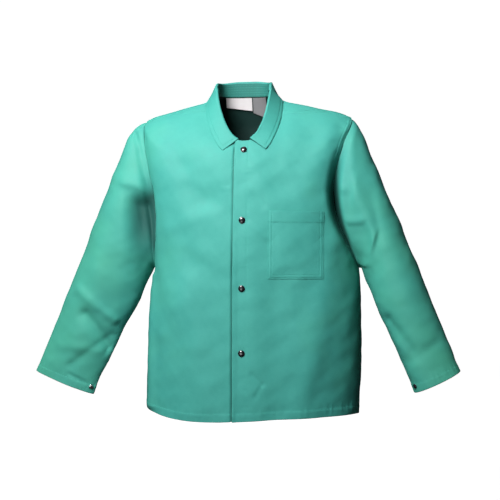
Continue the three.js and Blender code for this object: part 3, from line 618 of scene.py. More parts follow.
    def outer_line(self, arm, w):
        """The sleeve's outer line: straight from the shoulder tip to the cuff, after a round
        cap."""
        tip = self.shell(np.float64(arm.sign * RIGHT_ANGLE), np.float64(TIP))
        lean = math.radians(arm.lean)
        along = self.sleeve.length * arm.reach * w
        rise = arm.cap_rise * self.sleeve.depth * (1 - np.exp(-along / self.sleeve.cap_reach))
        out = along * math.sin(lean) + rise * math.cos(lean)
        down = along * math.cos(lean) - rise * math.sin(lean)
        return tip + np.stack([arm.sign * out, 0 * out, -down], axis=-1)

    def inner_line(self, arm, w):
        """The sleeve's inner line: a curve from the armpit to the inner corner of the cuff."""
        armpit = self.shell(np.float64(arm.sign * RIGHT_ANGLE), np.float64(ARMPIT))
        tilt = math.radians(arm.tilt)
        across = np.array([-arm.sign * math.cos(tilt), 0, -math.sin(tilt)])
        cuff = self.outer_line(arm, np.float64(1)) + across * arm.span * self.sleeve.cuff_width
        out = self.sleeve.underarm_reach * (1 - np.exp(-w / 0.05)) * (1 - w)
        line = armpit + (cuff - armpit) * w[..., None] ** 2.5
        return line + np.stack([arm.sign * out, 0 * out, 0 * out], axis=-1)

    def oval(self, arm, round_, w):
        """A plain oval section of the sleeve, hung between its outer and its inner line."""
        outer, inner = self.outer_line(arm, w), self.inner_line(arm, w)
        square = mix(2.1, mix(1.75, 2.05, arm.open), w)
        s, c = np.sin(round_), np.cos(round_)
        reach = superellipse(s, c, square)
        depth = self.sleeve.depth * mix(self.flat_depth(w), self.open_depth(w), arm.open)
        points = (outer + inner) / 2 + (outer - inner) / 2 * (c * reach)[..., None]
        points[..., 1] -= depth * s * reach + arm.forward * self.sleeve.length * w**1.3
        return points

    def sleeve_form(self, arm, round_, w):
        """The sleeve: ovals that are drawn to the armhole's own outline near the shoulder."""
        round_, w = (np.array(a) for a in np.broadcast_arrays(round_, w))
        pull = (1 - np.clip(w / 0.3, 0, 1)) ** 2
        edge = self.armhole(arm, round_) - self.oval(arm, round_, 0 * w)
        return self.oval(arm, round_, w) + edge * pull[..., None]

    def sleeve_facing(self, arm, round_, w):
        """The direction off the plain sleeve."""
        return arm.sign * facing(lambda r, s: self.sleeve_form(arm, r, s), round_, w)

    def sleeve_shell(self, name, round_, w, rows):
        """The sleeve with the folds of a table, and the direction off it."""
        arm = ARMS[name]
        round_, w = (np.array(a) for a in np.broadcast_arrays(round_, w))
        depth, length = self.sleeve.depth, self.sleeve.length
        points = self.sleeve_form(arm, round_, w)
        out = self.sleeve_facing(arm, round_, w)
        lift = np.zeros(points.shape[:-1])
        turned = np.where(round_ < 0, round_ + 2 * math.pi, round_)
        for row in rows:
            start = np.array([row.from_round * RIGHT_ANGLE * depth, row.from_w * length])
            run = np.array([row.to_round * RIGHT_ANGLE * depth, row.to_w * length]) - start
            lift += ridge_lift(row, turned * depth - start[0], w * length - start[1], run, depth)
        lift *= ease(w * 8) * ease((1 - w) * 12)
        return points + out * lift[..., None], out

    def lap_lift(self, x):
        """How far the left front stands off the form where it laps over the right one."""
        b = self.body
        return (2 * b.cloth + 3 * b.gap) * (1 - ease((x - b.front_lap) / 0.062))

    def seen_at(self, surface, x, z, turn, v):
        """The surface's turn and v where it is seen straight from the front or back at x, z."""
        turn, v = np.full(np.shape(x), float(turn)), np.full(np.shape(x), float(v))
        for _ in range(12):
            here = surface(turn, v)
            across = (surface(turn + STEP, v) - here) / STEP
            up = (here - surface(turn, v - STEP)) / STEP
            scale = across[..., 0] * up[..., 2] - across[..., 2] * up[..., 0]
            p, q = x - here[..., 0], z - here[..., 2]
            turn = turn + (p * up[..., 2] - q * up[..., 0]) / scale
            v = v + (q * across[..., 0] - p * across[..., 2]) / scale
        return turn, v


# How the cloth sinks back where the sleeve meets the front: how deep, how far over the front and
# over the sleeve, at what height and over how much height
Tuck = namedtuple("Tuck", "depth front_width sleeve_width middle reach")
TUCKS = {
    "right": Tuck(0.024, 0.006, 0.018, -0.28, 0.085),
    "left": Tuck(0.042, 0.0115, 0.011, -0.265, 0.1),
}


def tuck_depth(name, points, distance, width):
    """How far the armhole's tuck pushes points back: most at the seam and at one height."""
    tuck = TUCKS[name]
    return tuck.depth * hump(distance / width) * hump((points[..., 2] - tuck.middle) / tuck.reach)


# The finish of the cloth near its seams: the width of the felled band, how far it stands up, how
# far from the seam its rows of stitches lie, and how deep and how long the gathers are. The place
# of a seam in its list gives the seed of its gathers.
BAND = 0.0095
FELLED = (0.0021, 0.0083)
HEM_SEAM = Seam("hem", 0.0185, 0.0007, (0.0165,), 0.001, 0.015)
NECK_SEAM = Seam("neck", 0, 0, (), 0.0003, 0.012)
CAP_SEAM = Seam("", 0, 0, (), 0.0006, 0.02)
UNDERARM_SEAM = Seam("", BAND, 0.0005, FELLED, 0.0004, 0.014)


def armhole_seam(side):
    """The armhole's seam, on the body."""
    return Seam(side + "_armhole", BAND, 0.0007, FELLED, 0.0004, 0.012)


def front_seams(side, closing_rows, closing_gather):
    """The seams of a front: the shoulder, armhole and side are felled on it."""
    return [
        Seam(side + "_shoulder", BAND, 0.0008, FELLED, 0.0003, 0.011),
        armhole_seam(side),
        Seam(side + "_side", BAND, 0.0005, FELLED, 0.0004, 0.013),
        HEM_SEAM,
        Seam(side + "_closing", 0, 0, closing_rows, closing_gather, 0.016),
        NECK_SEAM,
    ]


SEAMS = {
    "back_panel": [
        Seam("right_shoulder", 0, 0, (), 0.0003, 0.011),
        Seam("left_shoulder", 0, 0, (), 0.0003, 0.011),
        armhole_seam("right"),
        armhole_seam("left"),
        Seam("right_side", 0, 0, (), 0.0003, 0.013),
        Seam("left_side", 0, 0, (), 0.0003, 0.013),
        HEM_SEAM,
        NECK_SEAM,
    ],
    "left_front": front_seams("left", (0.0022, 0.03), 0.00035),
    "right_front": front_seams("right", (), 0.0002),
}
BODY_SEAM_SEED = 20

# The seed, the wave and the amount of each ripple of the cloth
BODY_RIPPLES = ((3, 0.16, 0.0011), (4, 0.06, 0.0006), (7, 0.028, 0.00016))
SLEEVE_RIPPLES = ((5, 0.12, 0.0012), (6, 0.05, 0.0006), (8, 0.026, 0.00016))

# How much thicker the cloth is where it is turned in, as a share
DOUBLED = 0.8


def seam_height(seam, distance, along, seed):
    """How a seam shapes the cloth beside it: a low band with a soft step, a groove under each row
    of stitches, and gathers that run away from the seam and die out."""
    height = seam.lift * ease((seam.band - distance) / 0.0016) if seam.band else 0 * distance
    for row in seam.rows:
        height = height - 0.0005 * hump((distance - row) / 0.0011)
    middle = max(seam.rows, default=0)
    gathers = pucker(along, seed, seam.wave) * hump((distance - middle) / 0.011)
    return height + seam.gather * gathers


class Cloth:
    """The finished outer faces of the pieces, worked out from the cut."""

    def __init__(self, cut):
        self.cut = cut

    def body(self, name, turn, v):
        """A body panel's outer face."""
        return self.body_and_sunk(name, turn, v)[0]

    def sleeve(self, name, round_, w):
        """A sleeve's outer face."""
        return self.sleeve_and_sunk(name, round_, w)[0]

    def body_and_sunk(self, name, turn, v):
        """A body panel's outer face, with its folds, wrinkles, ripples, seams and snap dents, and
        how far it has sunk where it is deep in a fold, which sets how dark shade is painted there.
        In the closing's slot beside the lap's edge this is raised far past the real depth, for
        painted shade in the slot."""
        cut, b = self.cut, self.cut.body
        turn, v = (np.array(a) for a in np.broadcast_arrays(turn, v))
        points = cut.form(turn, v)
        out = facing(cut.form, turn, v)
        lift = cut.fold_height(points, turn, v, BODY_FOLDS)
        calm = ease((1 - v) * (5 if name == "back_panel" else 9))
        front = ease(np.cos(turn) * 5)
        lift += crease_lift(FRONT_CREASES[name], points[..., 0], points[..., 2]) * front * calm
        lift += rippled(points, BODY_RIPPLES) * calm
        shell = points + out * lift[..., None]
        finish, sunk = np.zeros(lift.shape), np.zeros(lift.shape)
        side = name.split("_")[0]
        if side in TUCKS:
            distance, _ = nearest(shell, cut.lines[side + "_armhole"])
            sunk = front * tuck_depth(side, shell, distance, TUCKS[side].front_width)
            shell = shell + sunk[..., None] * np.array([0, 1, 0])
        for k, seam in enumerate(SEAMS[name]):
            distance, along = nearest(shell, cut.lines[seam.line])
            finish += seam_height(seam, distance, along, BODY_SEAM_SEED + k)
        low = ease((-0.31 - points[..., 2]) / 0.1)
        if name == "left_front":
            finish += self.lap_finish(points, shell, low)
        if name == "right_front":
            slot = hump((points[..., 0] + b.front_lap + 0.0016) / 0.0022) * calm
            finish -= (0.003 + 0.003 * low) * slot
            # Painted shade: the slot beside the lap's edge counts as sunk far deeper than it is, so
            # that it is painted dark.
            sunk = sunk + (0.02 + 0.01 * low) * slot
        return shell + out * finish[..., None], sunk

    def lap_finish(self, points, shell, low):
        """How the left front stands off where it laps over: pressed in round each snap, and with
        an edge that flares, more so where low is 1."""
        cut = self.cut
        lift = cut.lap_lift(points[..., 0])
        for height in SNAP_HEIGHTS:
            off = np.hypot(points[..., 0], points[..., 2] + height * cut.body.length)
            lift -= 0.0009 * hump(off / 0.013)
        distance, _ = nearest(shell, cut.lines["left_closing"])
        return lift + (0.0006 + 0.0016 * low) * hump(distance / 0.008)

    def sleeve_and_sunk(self, name, round_, w):
        """A sleeve's outer face, with its folds, ripples, cuff hem and underarm seam, and how far
        it has sunk where it is deep in a fold, which sets how dark shade is painted there."""
        cut, s = self.cut, self.cut.sleeve
        points, out = cut.sleeve_shell(name, round_, w, SLEEVE_FOLDS[name])
        calm, front = ease(w * 12), ease(0.2 + 2 * np.sin(round_))
        along, around, to_seam = w * s.length, round_ * s.depth, ease(w * 30)
        creases = crease_lift(FRONT_CREASES[name + "_sleeve"], points[..., 0], points[..., 2])
        hollow = 0 * creases
        if name in HOLLOWS:
            hollow = hollow_lift(HOLLOWS[name], points[..., 0], points[..., 2])
            hollow *= ease(1.6 * np.sin(round_))
        points = points + out * ((creases * front + hollow) * to_seam)[..., None]
        lift = rippled(points, SLEEVE_RIPPLES) * calm
        turned = s.cuff_depth
        cuff = Seam("", turned + 0.001, 0.0005, (turned - 0.001,), 0.0007, 0.016)
        lift += seam_height(cuff, (1 - w) * s.length * ARMS[name].reach, around, 31)
        lift += seam_height(CAP_SEAM, along, around, 32)
        from_underarm = np.abs(np.abs(round_) - math.pi) * s.depth
        lift += seam_height(UNDERARM_SEAM, from_underarm, along, 33) * to_seam
        points = points + out * lift[..., None]
        tuck = front * tuck_depth(name, points, along, TUCKS[name].sleeve_width)
        points = points + tuck[..., None] * np.array([0, 1, 0])
        turned_under = 0.0016 * hump(along / 0.004)
        return points - out * turned_under[..., None], tuck - hollow


def painted_fold_shade(sunk):
    """How dark shade is painted on the cloth deep in its folds and in the closing's slot: 0 is as
    elsewhere and 1 is as on its inner face, which is painted dark as the shade inside the coat."""
    return 0.8 * ease(sunk / 0.026)


# Meshes from grids of points


def grid_normals(points, out):
    """The direction off a grid of points, turned to the side that out is on."""
    across = np.gradient(points, axis=1)
    along = np.gradient(points, axis=0)
    normals = unit(np.cross(across, along))
    return normals * np.sign(dot(normals, out))[..., None]


def smooth_steps(count, crowd):
    """Even steps from 0 to 1, drawn in towards both ends by crowd, from 0 to 1."""
    even = np.linspace(0, 1, count)
    return mix(even, 0.5 - 0.5 * np.cos(math.pi * even), crowd)


def lengths(points):
    """How far each point of a grid is along its row, and along its column."""
    across = np.linalg.norm(np.diff(points, axis=1), axis=-1)
    along = np.linalg.norm(np.diff(points, axis=0), axis=-1)
    u = np.concatenate([np.zeros((len(points), 1)), np.cumsum(across, axis=1)], axis=1)
    v = np.concatenate([np.zeros((1, points.shape[1])), np.cumsum(along, axis=0)])
    return np.stack([u, v], axis=-1)


def numbered(points):
    """A number for each point of a grid."""
    return np.arange(points.shape[0] * points.shape[1]).reshape(points.shape[:2])


def looped(grid):
    """A grid whose first column follows its last one again."""
    return np.concatenate([grid, grid[:, :1]], axis=1)


def quads(ids):
    """The four corners of every cell of a grid, whose last axis may hold numbers or pairs."""
    corners = [ids[:-1, :-1], ids[:-1, 1:], ids[1:, 1:], ids[1:, :-1]]
    return np.stack(corners, axis=2).reshape(-1, 4, *ids.shape[2:])


# The steps of the half circle round an edge of the cloth
RIM_STEPS = 3
RIM_ANGLES = np.pi * np.arange(1, RIM_STEPS + 1) / (RIM_STEPS + 1)


def sheet_mesh(outer, normals, thickness, outer_painted_shade=0.0):
    """A sheet of cloth with round edges. Each row is a loop over the outer face, round one edge,
    back over the inner face and round the other edge. The first and the last loop close down to a
    line along the middle of the cloth in a quarter circle. The outer painted shade is how dark
    shade is painted on the outer face, from 0 to 1 as on the inner face, which is painted dark as
    the shade inside the coat."""
    inner = outer - normals * thickness[..., None]
    middle, half = (outer + inner) / 2, (outer - inner) / 2
    radius = np.linalg.norm(half, axis=-1, keepdims=True)
    uv = lengths(outer)

    def edge(column, towards):
        """The half circle round one edge, from the outer face to the inner one."""
        away = unit(middle[:, column] - middle[:, towards])[:, None] * radius[:, column][:, None]
        angles = RIM_ANGLES[None, :, None]
        points = middle[:, column][:, None] + away * np.sin(angles)
        return points, half[:, column][:, None] * np.cos(angles)

    right, right_off = edge(-1, -2)
    left, left_off = edge(0, 1)
    loop = np.concatenate([middle, right, middle[:, ::-1], left[:, ::-1]], axis=1)
    off = np.concatenate([half, right_off, -half[:, ::-1], left_off[:, ::-1]], axis=1)
    right_uv = np.repeat(uv[:, -1:], RIM_STEPS, axis=1)
    left_uv = np.repeat(uv[:, :1], RIM_STEPS, axis=1)
    loop_uv = np.concatenate([uv, right_uv, uv[:, ::-1], left_uv, uv[:, :1]], axis=1)

    def cap(row, towards):
        """The quarter circle that closes a sheet past its first or its last row."""
        away = unit(loop[row] - loop[towards])
        reach = np.linalg.norm(off[row], axis=-1).max()
        angles = RIGHT_ANGLE * np.arange(1, RIM_STEPS + 1)[:, None, None] / RIM_STEPS
        return loop[row] + away * reach * np.sin(angles) + off[row] * np.cos(angles)

    start, end = cap(0, 1)[::-1], cap(-1, -2)
    points = np.concatenate([start, loop + off, end])
    start_uv, end_uv = np.repeat(loop_uv[:1], RIM_STEPS, 0), np.repeat(loop_uv[-1:], RIM_STEPS, 0)
    columns, total = outer.shape[1], points.shape[1]
    inner_start, inner_end = columns + RIM_STEPS, 2 * columns + RIM_STEPS

    # Each point of the closing lines is one point with the one that meets it from the other face
    ids, place = numbered(points), np.arange(total)
    mirror = (inner_end - 1 - place) % total
    mirror[inner_end:] = 2 * total - RIM_STEPS - 1 - place[inner_end:]
    for row in (0, -1):
        ids[row] = np.minimum(ids[row], ids[row][mirror % total])
    # Painted shade: 1 on the inner face, painted dark as the shade inside the coat, and the outer
    # face's painted shade on the outer face.
    reverse = np.zeros(points.shape[:2])
    reverse[:, inner_start:inner_end] = 1
    reverse[RIM_STEPS:-RIM_STEPS, :columns] = outer_painted_shade
    uv_rows = np.concatenate([start_uv, loop_uv, end_uv])
    return points.reshape(-1, 3), quads(looped(ids)), quads(uv_rows), reverse.ravel()


def tube_mesh(outer, normals, thickness, outer_painted_shade=0.0):
    """A sleeve of cloth that is closed all round: down its outer face, round the edge, up its
    inner face and round the other edge, every row a closed loop."""
    inner = outer - normals * thickness[..., None]
    middle, half = (outer + inner) / 2, (outer - inner) / 2
    uv = lengths(looped(outer))

    def edge(row, towards):
        """The half circle round one end, from the outer face to the inner one."""
        away = unit(middle[row] - middle[towards]) * np.linalg.norm(half[row], axis=-1)[:, None]
        angles = RIM_ANGLES[:, None, None]
        return middle[row] + away * np.sin(angles) + half[row] * np.cos(angles)

    end, start = edge(-1, -2), edge(0, 1)[::-1]
    points = np.concatenate([outer, end, inner[::-1], start])
    end_uv, start_uv = np.repeat(uv[-1:], RIM_STEPS, 0), np.repeat(uv[:1], RIM_STEPS, 0)
    uv = np.concatenate([uv, end_uv, uv[::-1], start_uv, uv[:1]])
    ids = looped(numbered(points))
    ids = np.concatenate([ids, ids[:1]])
    rows = len(outer)
    # Painted shade: 1 on the inner face, painted dark as the shade inside the sleeve, and the outer
    # face's painted shade on the outer face.
    reverse = np.zeros(points.shape[:2])
    reverse[rows + RIM_STEPS : 2 * rows + RIM_STEPS] = 1
    reverse[:rows] = outer_painted_shade
    return points.reshape(-1, 3), quads(ids), quads(uv), reverse.ravel()


def outward(points, faces):
    """The faces in the order that points outwards, which the sign of the volume tells."""
    first = points[faces[:, 0]]
    volume = 0
    for k in range(1, faces.shape[1] - 1):
        volume += dot(first, np.cross(points[faces[:, k]], points[faces[:, k + 1]])).sum()
    return volume > 0


def make_piece(name, points, faces, material, slot, nodes=(), uv=None, reverse=None):
    """A mesh object of the coat, from arrays of points and faces, which rides on the frame. It
    stands for the frame's nodes that are named, and the last array is the painted shade: 1 on the
    cloth's inner face, painted dark as the shade inside the coat, and more than 0 where shade is
    painted deep in the folds of its outer face."""
    used, numbers = np.unique(faces, return_inverse=True)
    points, faces = points[used], numbers.reshape(faces.shape)
    reverse = None if reverse is None else reverse[used]
    if not outward(points, faces):
        faces = faces[:, ::-1]
        uv = None if uv is None else uv[:, ::-1]
    sides = faces.shape[1]
    data = bpy.data.meshes.new(name)
    data.vertices.add(len(points))
    data.vertices.foreach_set("co", points.astype(np.float32).ravel())
    data.loops.add(faces.size)
    data.loops.foreach_set("vertex_index", faces.astype(np.int32).ravel())
    data.polygons.add(len(faces))
    data.polygons.foreach_set("loop_start", np.arange(0, faces.size, sides, dtype=np.int32))
    data.polygons.foreach_set("use_smooth", np.ones(len(faces), bool))
    if uv is not None:
        data.uv_layers.new(name="cloth").data.foreach_set("uv", uv.astype(np.float32).ravel())
    # The painted shade, dark on the inner face and deep in folds, is kept for the sateen's colour.
    if reverse is not None:
        kept = data.attributes.new("reverse", "FLOAT", "POINT")
        kept.data.foreach_set("value", reverse.astype(np.float32))
    data.update(calc_edges=True)
    if data.validate(verbose=False):
        raise RuntimeError(f"{name}: the mesh had faces that were not valid")
    data.materials.append(material)
    made = bpy.data.objects.new(name, data)
    bpy.context.scene.collection.objects.link(made)
    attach(made, "root")
    if nodes:
        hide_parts(*nodes)
    return made


def lathe(profile, sides, place, axis):
    """A round part: a profile of radius and height, carried round an axis that stands on a point.
    The profile starts and ends on the axis."""
    axis = unit(np.asarray(axis, float))
    side = unit(np.cross(axis, [0.3, 0.2, 1.0]))
    other = np.cross(axis, side)
    angles = np.linspace(0, 2 * math.pi, sides, endpoint=False)
    ring = np.cos(angles)[:, None] * side + np.sin(angles)[:, None] * other
    profile = np.asarray(profile, float)
    rings = profile[1:-1, 0][:, None, None] * ring + (profile[1:-1, 1][:, None] * axis)[:, None]
    low, high = profile[0, 1] * axis, profile[-1, 1] * axis
    points = np.concatenate([[low], rings.reshape(-1, 3), [high]]) + place
    ids = looped(1 + numbered(rings))
    walls = quads(ids)
    halves = np.concatenate([walls[:, [0, 1, 2]], walls[:, [0, 2, 3]]])
    ends = []
    for pole, ring_ids in ((0, ids[0][::-1]), (len(points) - 1, ids[-1])):
        ends.append(np.stack([np.full(sides, pole), ring_ids[:-1], ring_ids[1:]], axis=1))
    return points, np.concatenate([halves, *ends])


def joined(parts):
    """Several parts as one array of points and one of faces."""
    offset = 0
    points, faces = [], []
    for part_points, part_faces in parts:
        points.append(part_points)
        faces.append(part_faces + offset)
        offset += len(part_points)
    return np.concatenate(points), np.concatenate(faces)


def stitch_mesh(centres, along, out, length, thick):
    """A row of stitches: one small capsule at each centre, sunk by half into the cloth. The
    capsule is six-sided, and its ends dip to where the thread goes through."""
    sides = 6
    reach = np.array([-0.5, -0.3, 0.3, 0.5]) * length
    girth = np.array([0.35, 1.0, 1.0, 0.35]) * thick / 2
    dip = np.array([-0.6, 0.05, 0.05, -0.6]) * thick
    angles = np.linspace(0, 2 * math.pi, sides, endpoint=False)
    x = np.repeat(reach[:, None], sides, axis=1)
    y = girth[:, None] * np.cos(angles)
    z = girth[:, None] * np.sin(angles) + dip[:, None]
    local = np.stack([x, y, z], axis=-1).reshape(-1, 3)
    ids = np.arange(len(reach) * sides).reshape(-1, sides)
    walls = quads(looped(ids))
    ends = np.array([[0, 1, 2, 3], [0, 3, 4, 5]])
    faces = np.concatenate([walls, ends[:, ::-1], ends + ids[-1, 0]])
    along = unit(along)
    side = unit(np.cross(out, along))
    up = np.cross(along, side)
    axes = np.stack([along, side, up], axis=1)
    points = centres[:, None] + local @ axes
    shift = np.arange(len(centres))[:, None, None] * len(local)
    return points.reshape(-1, 3), (faces + shift).reshape(-1, 4)


def sewn(rows, trim):
    """The stitches of several rows, each a line of close points and the directions off the
    cloth."""
    parts = []
    for points, out in rows:
        centres, way, off = spaced(points, trim.stitch_step, np.gradient(points, axis=0), out)
        parts.append(stitch_mesh(centres, way, unit(off), trim.stitch, trim.thread))
    return joined(parts)


def pieces_of(keep, *arrays):
    """The arrays cut into the stretches over which keep holds, when these have enough points."""
    fewest = 9
    breaks = np.flatnonzero(np.diff(keep.astype(int))) + 1
    stretches = zip(np.split(keep, breaks), *(np.split(a, breaks) for a in arrays))
    return [rest for kept, *rest in stretches if kept[0] and len(kept) >= fewest]


# Materials


class Value:
    """A node's output, or a number, on which arithmetic adds Math nodes."""

    def __init__(self, graph, socket):
        self.graph, self.socket = graph, socket

    def math(self, operation, *values):
        """A Math node of this value and others."""
        node = self.graph.node("ShaderNodeMath", {"operation": operation}, dict(enumerate(values)))
        return Value(self.graph, node.outputs[0])

    def __add__(self, other):
        return self.math("ADD", self, other)

    def __radd__(self, other):
        return self.math("ADD", other, self)

    def __sub__(self, other):
        return self.math("SUBTRACT", self, other)

    def __rsub__(self, other):
        return self.math("SUBTRACT", other, self)

    def __mul__(self, other):
        return self.math("MULTIPLY", self, other)

    def __rmul__(self, other):
        return self.math("MULTIPLY", other, self)

    def sin(self):
        """The sine of this value."""
        return self.math("SINE", self)

    def absolute(self):
        """This value without its sign."""
        return self.math("ABSOLUTE", self)

    def clipped(self):
        """This value held between 0 and 1."""
        return self.math("MINIMUM", self.math("MAXIMUM", self, 0.0), 1.0)


class Graph:
    """A material's nodes."""

    def __init__(self, name):
        self.material = bpy.data.materials.new(name)
        self.material.use_nodes = True
        self.tree = self.material.node_tree
        self.tree.nodes.clear()

    def node(self, kind, settings=None, inputs=None):
        """A node of a kind: its settings first, then the values or links of its sockets."""
        node = self.tree.nodes.new(kind)
        for key, value in (settings or {}).items():
            setattr(node, key, value)
        for key, value in (inputs or {}).items():
            if isinstance(value, Value):
                self.tree.links.new(value.socket, node.inputs[key])
            else:
                node.inputs[key].default_value = value
        return node

    def value(self, kind, settings=None, inputs=None, output=0):
        """The same, as a value to reckon with."""
        return Value(self, self.node(kind, settings, inputs).outputs[output])

    def place(self):
        """The place in the object's own coordinates."""
        return self.value("ShaderNodeTexCoord", output=3)

    def cloth(self):
        """The place on the cloth, across it and along it, in metres."""
        return self.value("ShaderNodeUVMap", {"uv_map": "cloth"})

    def parts(self, vector):
        """The three parts of a vector."""
        node = self.node("ShaderNodeSeparateXYZ", None, {0: vector})
        return [Value(self, socket) for socket in node.outputs]

    def stretched(self, vector, scale):
        """A vector with each part multiplied by its own scale."""
        return self.value("ShaderNodeMapping", None, {"Vector": vector, "Scale": scale})

    def noise(self, place, scale, detail=2.0, rough=0.5):
        """Noise from 0 to 1 at a place."""
        inputs = {"Vector": place, "Scale": scale, "Detail": detail, "Roughness": rough}
        return self.value("ShaderNodeTexNoise", None, inputs)

    def blend(self, factor, first, second):
        """A colour between two colours."""
        settings = {"data_type": "RGBA"}
        node = self.node("ShaderNodeMix", settings, {0: factor, 6: first, 7: second})
        return Value(self, node.outputs[2])

    def finish(self, constants, links, height=None, depth=0.001):
        """The shader, with its constants set on its own sockets, and a bump from a height."""
        if height is not None:
            bump = {"Height": height, "Distance": depth, "Strength": 1.0}
            links = {**links, "Normal": self.value("ShaderNodeBump", None, bump)}
        shader = self.node("ShaderNodeBsdfPrincipled", None, {**constants, **links})
        out = self.node("ShaderNodeOutputMaterial")
        self.tree.links.new(shader.outputs[0], out.inputs[0])
        return self.material


def rgba(colour_):
    """A colour with full opacity."""
    return (*colour_, 1.0)


def scaled(colour_, factor):
    """A colour made lighter or darker."""
    return rgba([min(1.0, part * factor) for part in colour_])


def sateen_material(colours):
    """Cotton sateen: a dyed cloth with a faint mottle, slubs that run with the threads, and a
    fine satin weave as bump."""
    graph = Graph("coat_sateen")
    place, cloth = graph.place(), graph.cloth()
    cloudy = graph.noise(place, 9.0, 3.0)
    mottle = graph.noise(place, 70.0, 4.0, 0.6)
    warp = graph.noise(graph.stretched(cloth, (1500.0, 160.0, 1.0)), 1.0, 2.0)
    weft = graph.noise(graph.stretched(cloth, (130.0, 900.0, 1.0)), 1.0, 2.0)
    rubbed = (cloudy * 0.5 + mottle * 0.35 + warp * 0.15 - 0.36) * 1.3
    base = graph.blend(rubbed.clipped(), rgba(colours.sateen), rgba(colours.faded))
    # Greener towards the sides of the coat, away from its centre, in cloudy patches.
    aside = graph.parts(place)[0].absolute()
    greener_towards_sides = (aside * 2.6 + cloudy * 1.2 - 1.0).clipped()
    base = graph.blend(greener_towards_sides, base, rgba(colours.greener))
    deep = (weft * 0.5 + warp * 0.5 - 0.42) * 0.9
    base = graph.blend(deep.clipped(), base, scaled(colours.sateen, 0.8))
    # Painted shade: the colour is darkened towards 0.08 of the sateen, fully on the inner face as
    # the shade inside the coat and partly deep in folds and in the closing's slot.
    reverse = graph.value("ShaderNodeAttribute", {"attribute_name": "reverse"}, output=2)
    base = graph.blend(reverse, base, scaled(colours.sateen, 0.08))
    across, along, _ = graph.parts(cloth)
    weave = (across * 5200.0 + along * 2600.0).sin() * 0.3
    height = warp * 0.9 + weft * 0.5 + mottle * 0.6 + weave
    links = {"Base Color": base, "Roughness": 0.56 + mottle * 0.16}
    return graph.finish({"Specular IOR Level": 0.3}, links, height, 0.00003)


def thread_material(colours):
    """Twisted sewing thread: fine ridges across it, and a little lighter than the cloth."""
    graph = Graph("coat_thread")
    fine = graph.noise(graph.place(), 2600.0, 2.0)
    base = graph.blend(fine, scaled(colours.thread, 0.75), scaled(colours.thread, 1.15))
    links = {"Base Color": base, "Roughness": 0.5 + fine * 0.2}
    return graph.finish({"Specular IOR Level": 0.3, "Sheen Weight": 0.05}, links, fine, 0.00004)


def tape_material(name, colour_):
    """A woven tape: close ribs across it and a soft shine."""
    graph = Graph("coat_" + name)
    ribs = (graph.parts(graph.cloth())[1] * 9000.0).sin()
    cloudy = graph.noise(graph.place(), 60.0, 3.0)
    base = graph.blend(cloudy, scaled(colour_, 0.9), scaled(colour_, 1.06))
    links = {"Base Color": base, "Roughness": 0.5 + cloudy * 0.2}
    height = ribs * 0.5 + cloudy
    return graph.finish({"Specular IOR Level": 0.45, "Sheen Weight": 0.1}, links, height, 0.00003)


def enamel_material(colours):
    """Glossy black enamel, with faint scuffs in its shine."""
    graph = Graph("coat_black_enamel")
    scuffs = graph.noise(graph.place(), 420.0, 4.0, 0.65)
    base = graph.blend(scuffs, rgba(colours.enamel), scaled(colours.enamel, 2.2))
    links = {"Base Color": base, "Roughness": 0.12 + scuffs * 0.22}
    constants = {"Specular IOR Level": 0.6, "Coat Roughness": 0.06}
    return graph.finish(constants, {**links, "Coat Weight": 0.6}, scuffs, 0.00003)


def nickel_material(colours):
    """Nickel plate: bright, with small marks."""
    graph = Graph("coat_nickel")
    marks = graph.noise(graph.place(), 700.0, 4.0, 0.6)
    base = graph.blend(marks, scaled(colours.nickel, 0.85), scaled(colours.nickel, 1.1))
    links = {"Base Color": base, "Roughness": 0.2 + marks * 0.2}
    return graph.finish({"Metallic": 1.0}, links, marks, 0.00003)


def material(name):
    """A material of the coat, made the first time that a piece asks for it. The frame's own
    materials have the slots' names, so each of these has one of its own."""
    colours = bpy.context.scene.coat.colours
    makers = {
        "sateen": sateen_material,
        "thread": thread_material,
        "white_label": lambda c: tape_material("white_label", c.white_label),
        "grey_label": lambda c: tape_material("grey_label", c.grey_label),
        "black_enamel": enamel_material,
        "nickel": nickel_material,
    }
    return bpy.data.materials.get("coat_" + name) or makers[name](colours)


# Panels of the body


# Each panel's columns, and its cloth's flat width, length and area
Panel = namedtuple("Panel", "columns flat area")
PANELS = {
    "back_panel": Panel(230, (0.72, 0.8), 0.44),
    "left_front": Panel(128, (0.4, 0.75), 0.22),
    "right_front": Panel(128, (0.4, 0.75), 0.22),
}

# How far the fronts are turned in at the closing, and over what width the cloth grows thicker there
FACING_WIDTH = 0.046
INNER_STEP = 0.003


def panel_rows():
    """The v of each row of a panel, and the way round the armhole beside it, or nan."""
    hem = np.array([0, 0.0012, 0.0025, 0.004])
    skirt = np.concatenate([hem, np.linspace(0.0062, 0.05, 17), np.linspace(0.054, 0.35, 64)])
    round_ = math.pi * (1 - np.linspace(0, 1, 73))
    armhole = mix(ARMPIT, TIP, 0.5 + 0.5 * np.cos(round_))
    yoke = np.linspace(0.776, 1, 42)
    v = np.concatenate([skirt, armhole, yoke])
    beside = np.concatenate([np.full(len(skirt), np.nan), round_, np.full(len(yoke), np.nan)])
    return v, beside


def side_turn(cut, name, face, v, beside):
    """The turn of a panel's side edge: the side seam, the armhole or the shoulder seam."""
    arm = ARMS[name]
    into = 1 if face == "front" else -1
    gap = cut.gap_turn(RIGHT_ANGLE, v, cut.body.cloth / 2)
    plain = RIGHT_ANGLE - cut.shoulder_seam(v) - into * gap
    hole, _ = cut.armhole_at(arm, into * np.nan_to_num(beside))
    opened = RIGHT_ANGLE - into * (np.abs(RIGHT_ANGLE - np.abs(hole)) + gap)
    return arm.sign * np.where(np.isnan(beside), plain, opened)


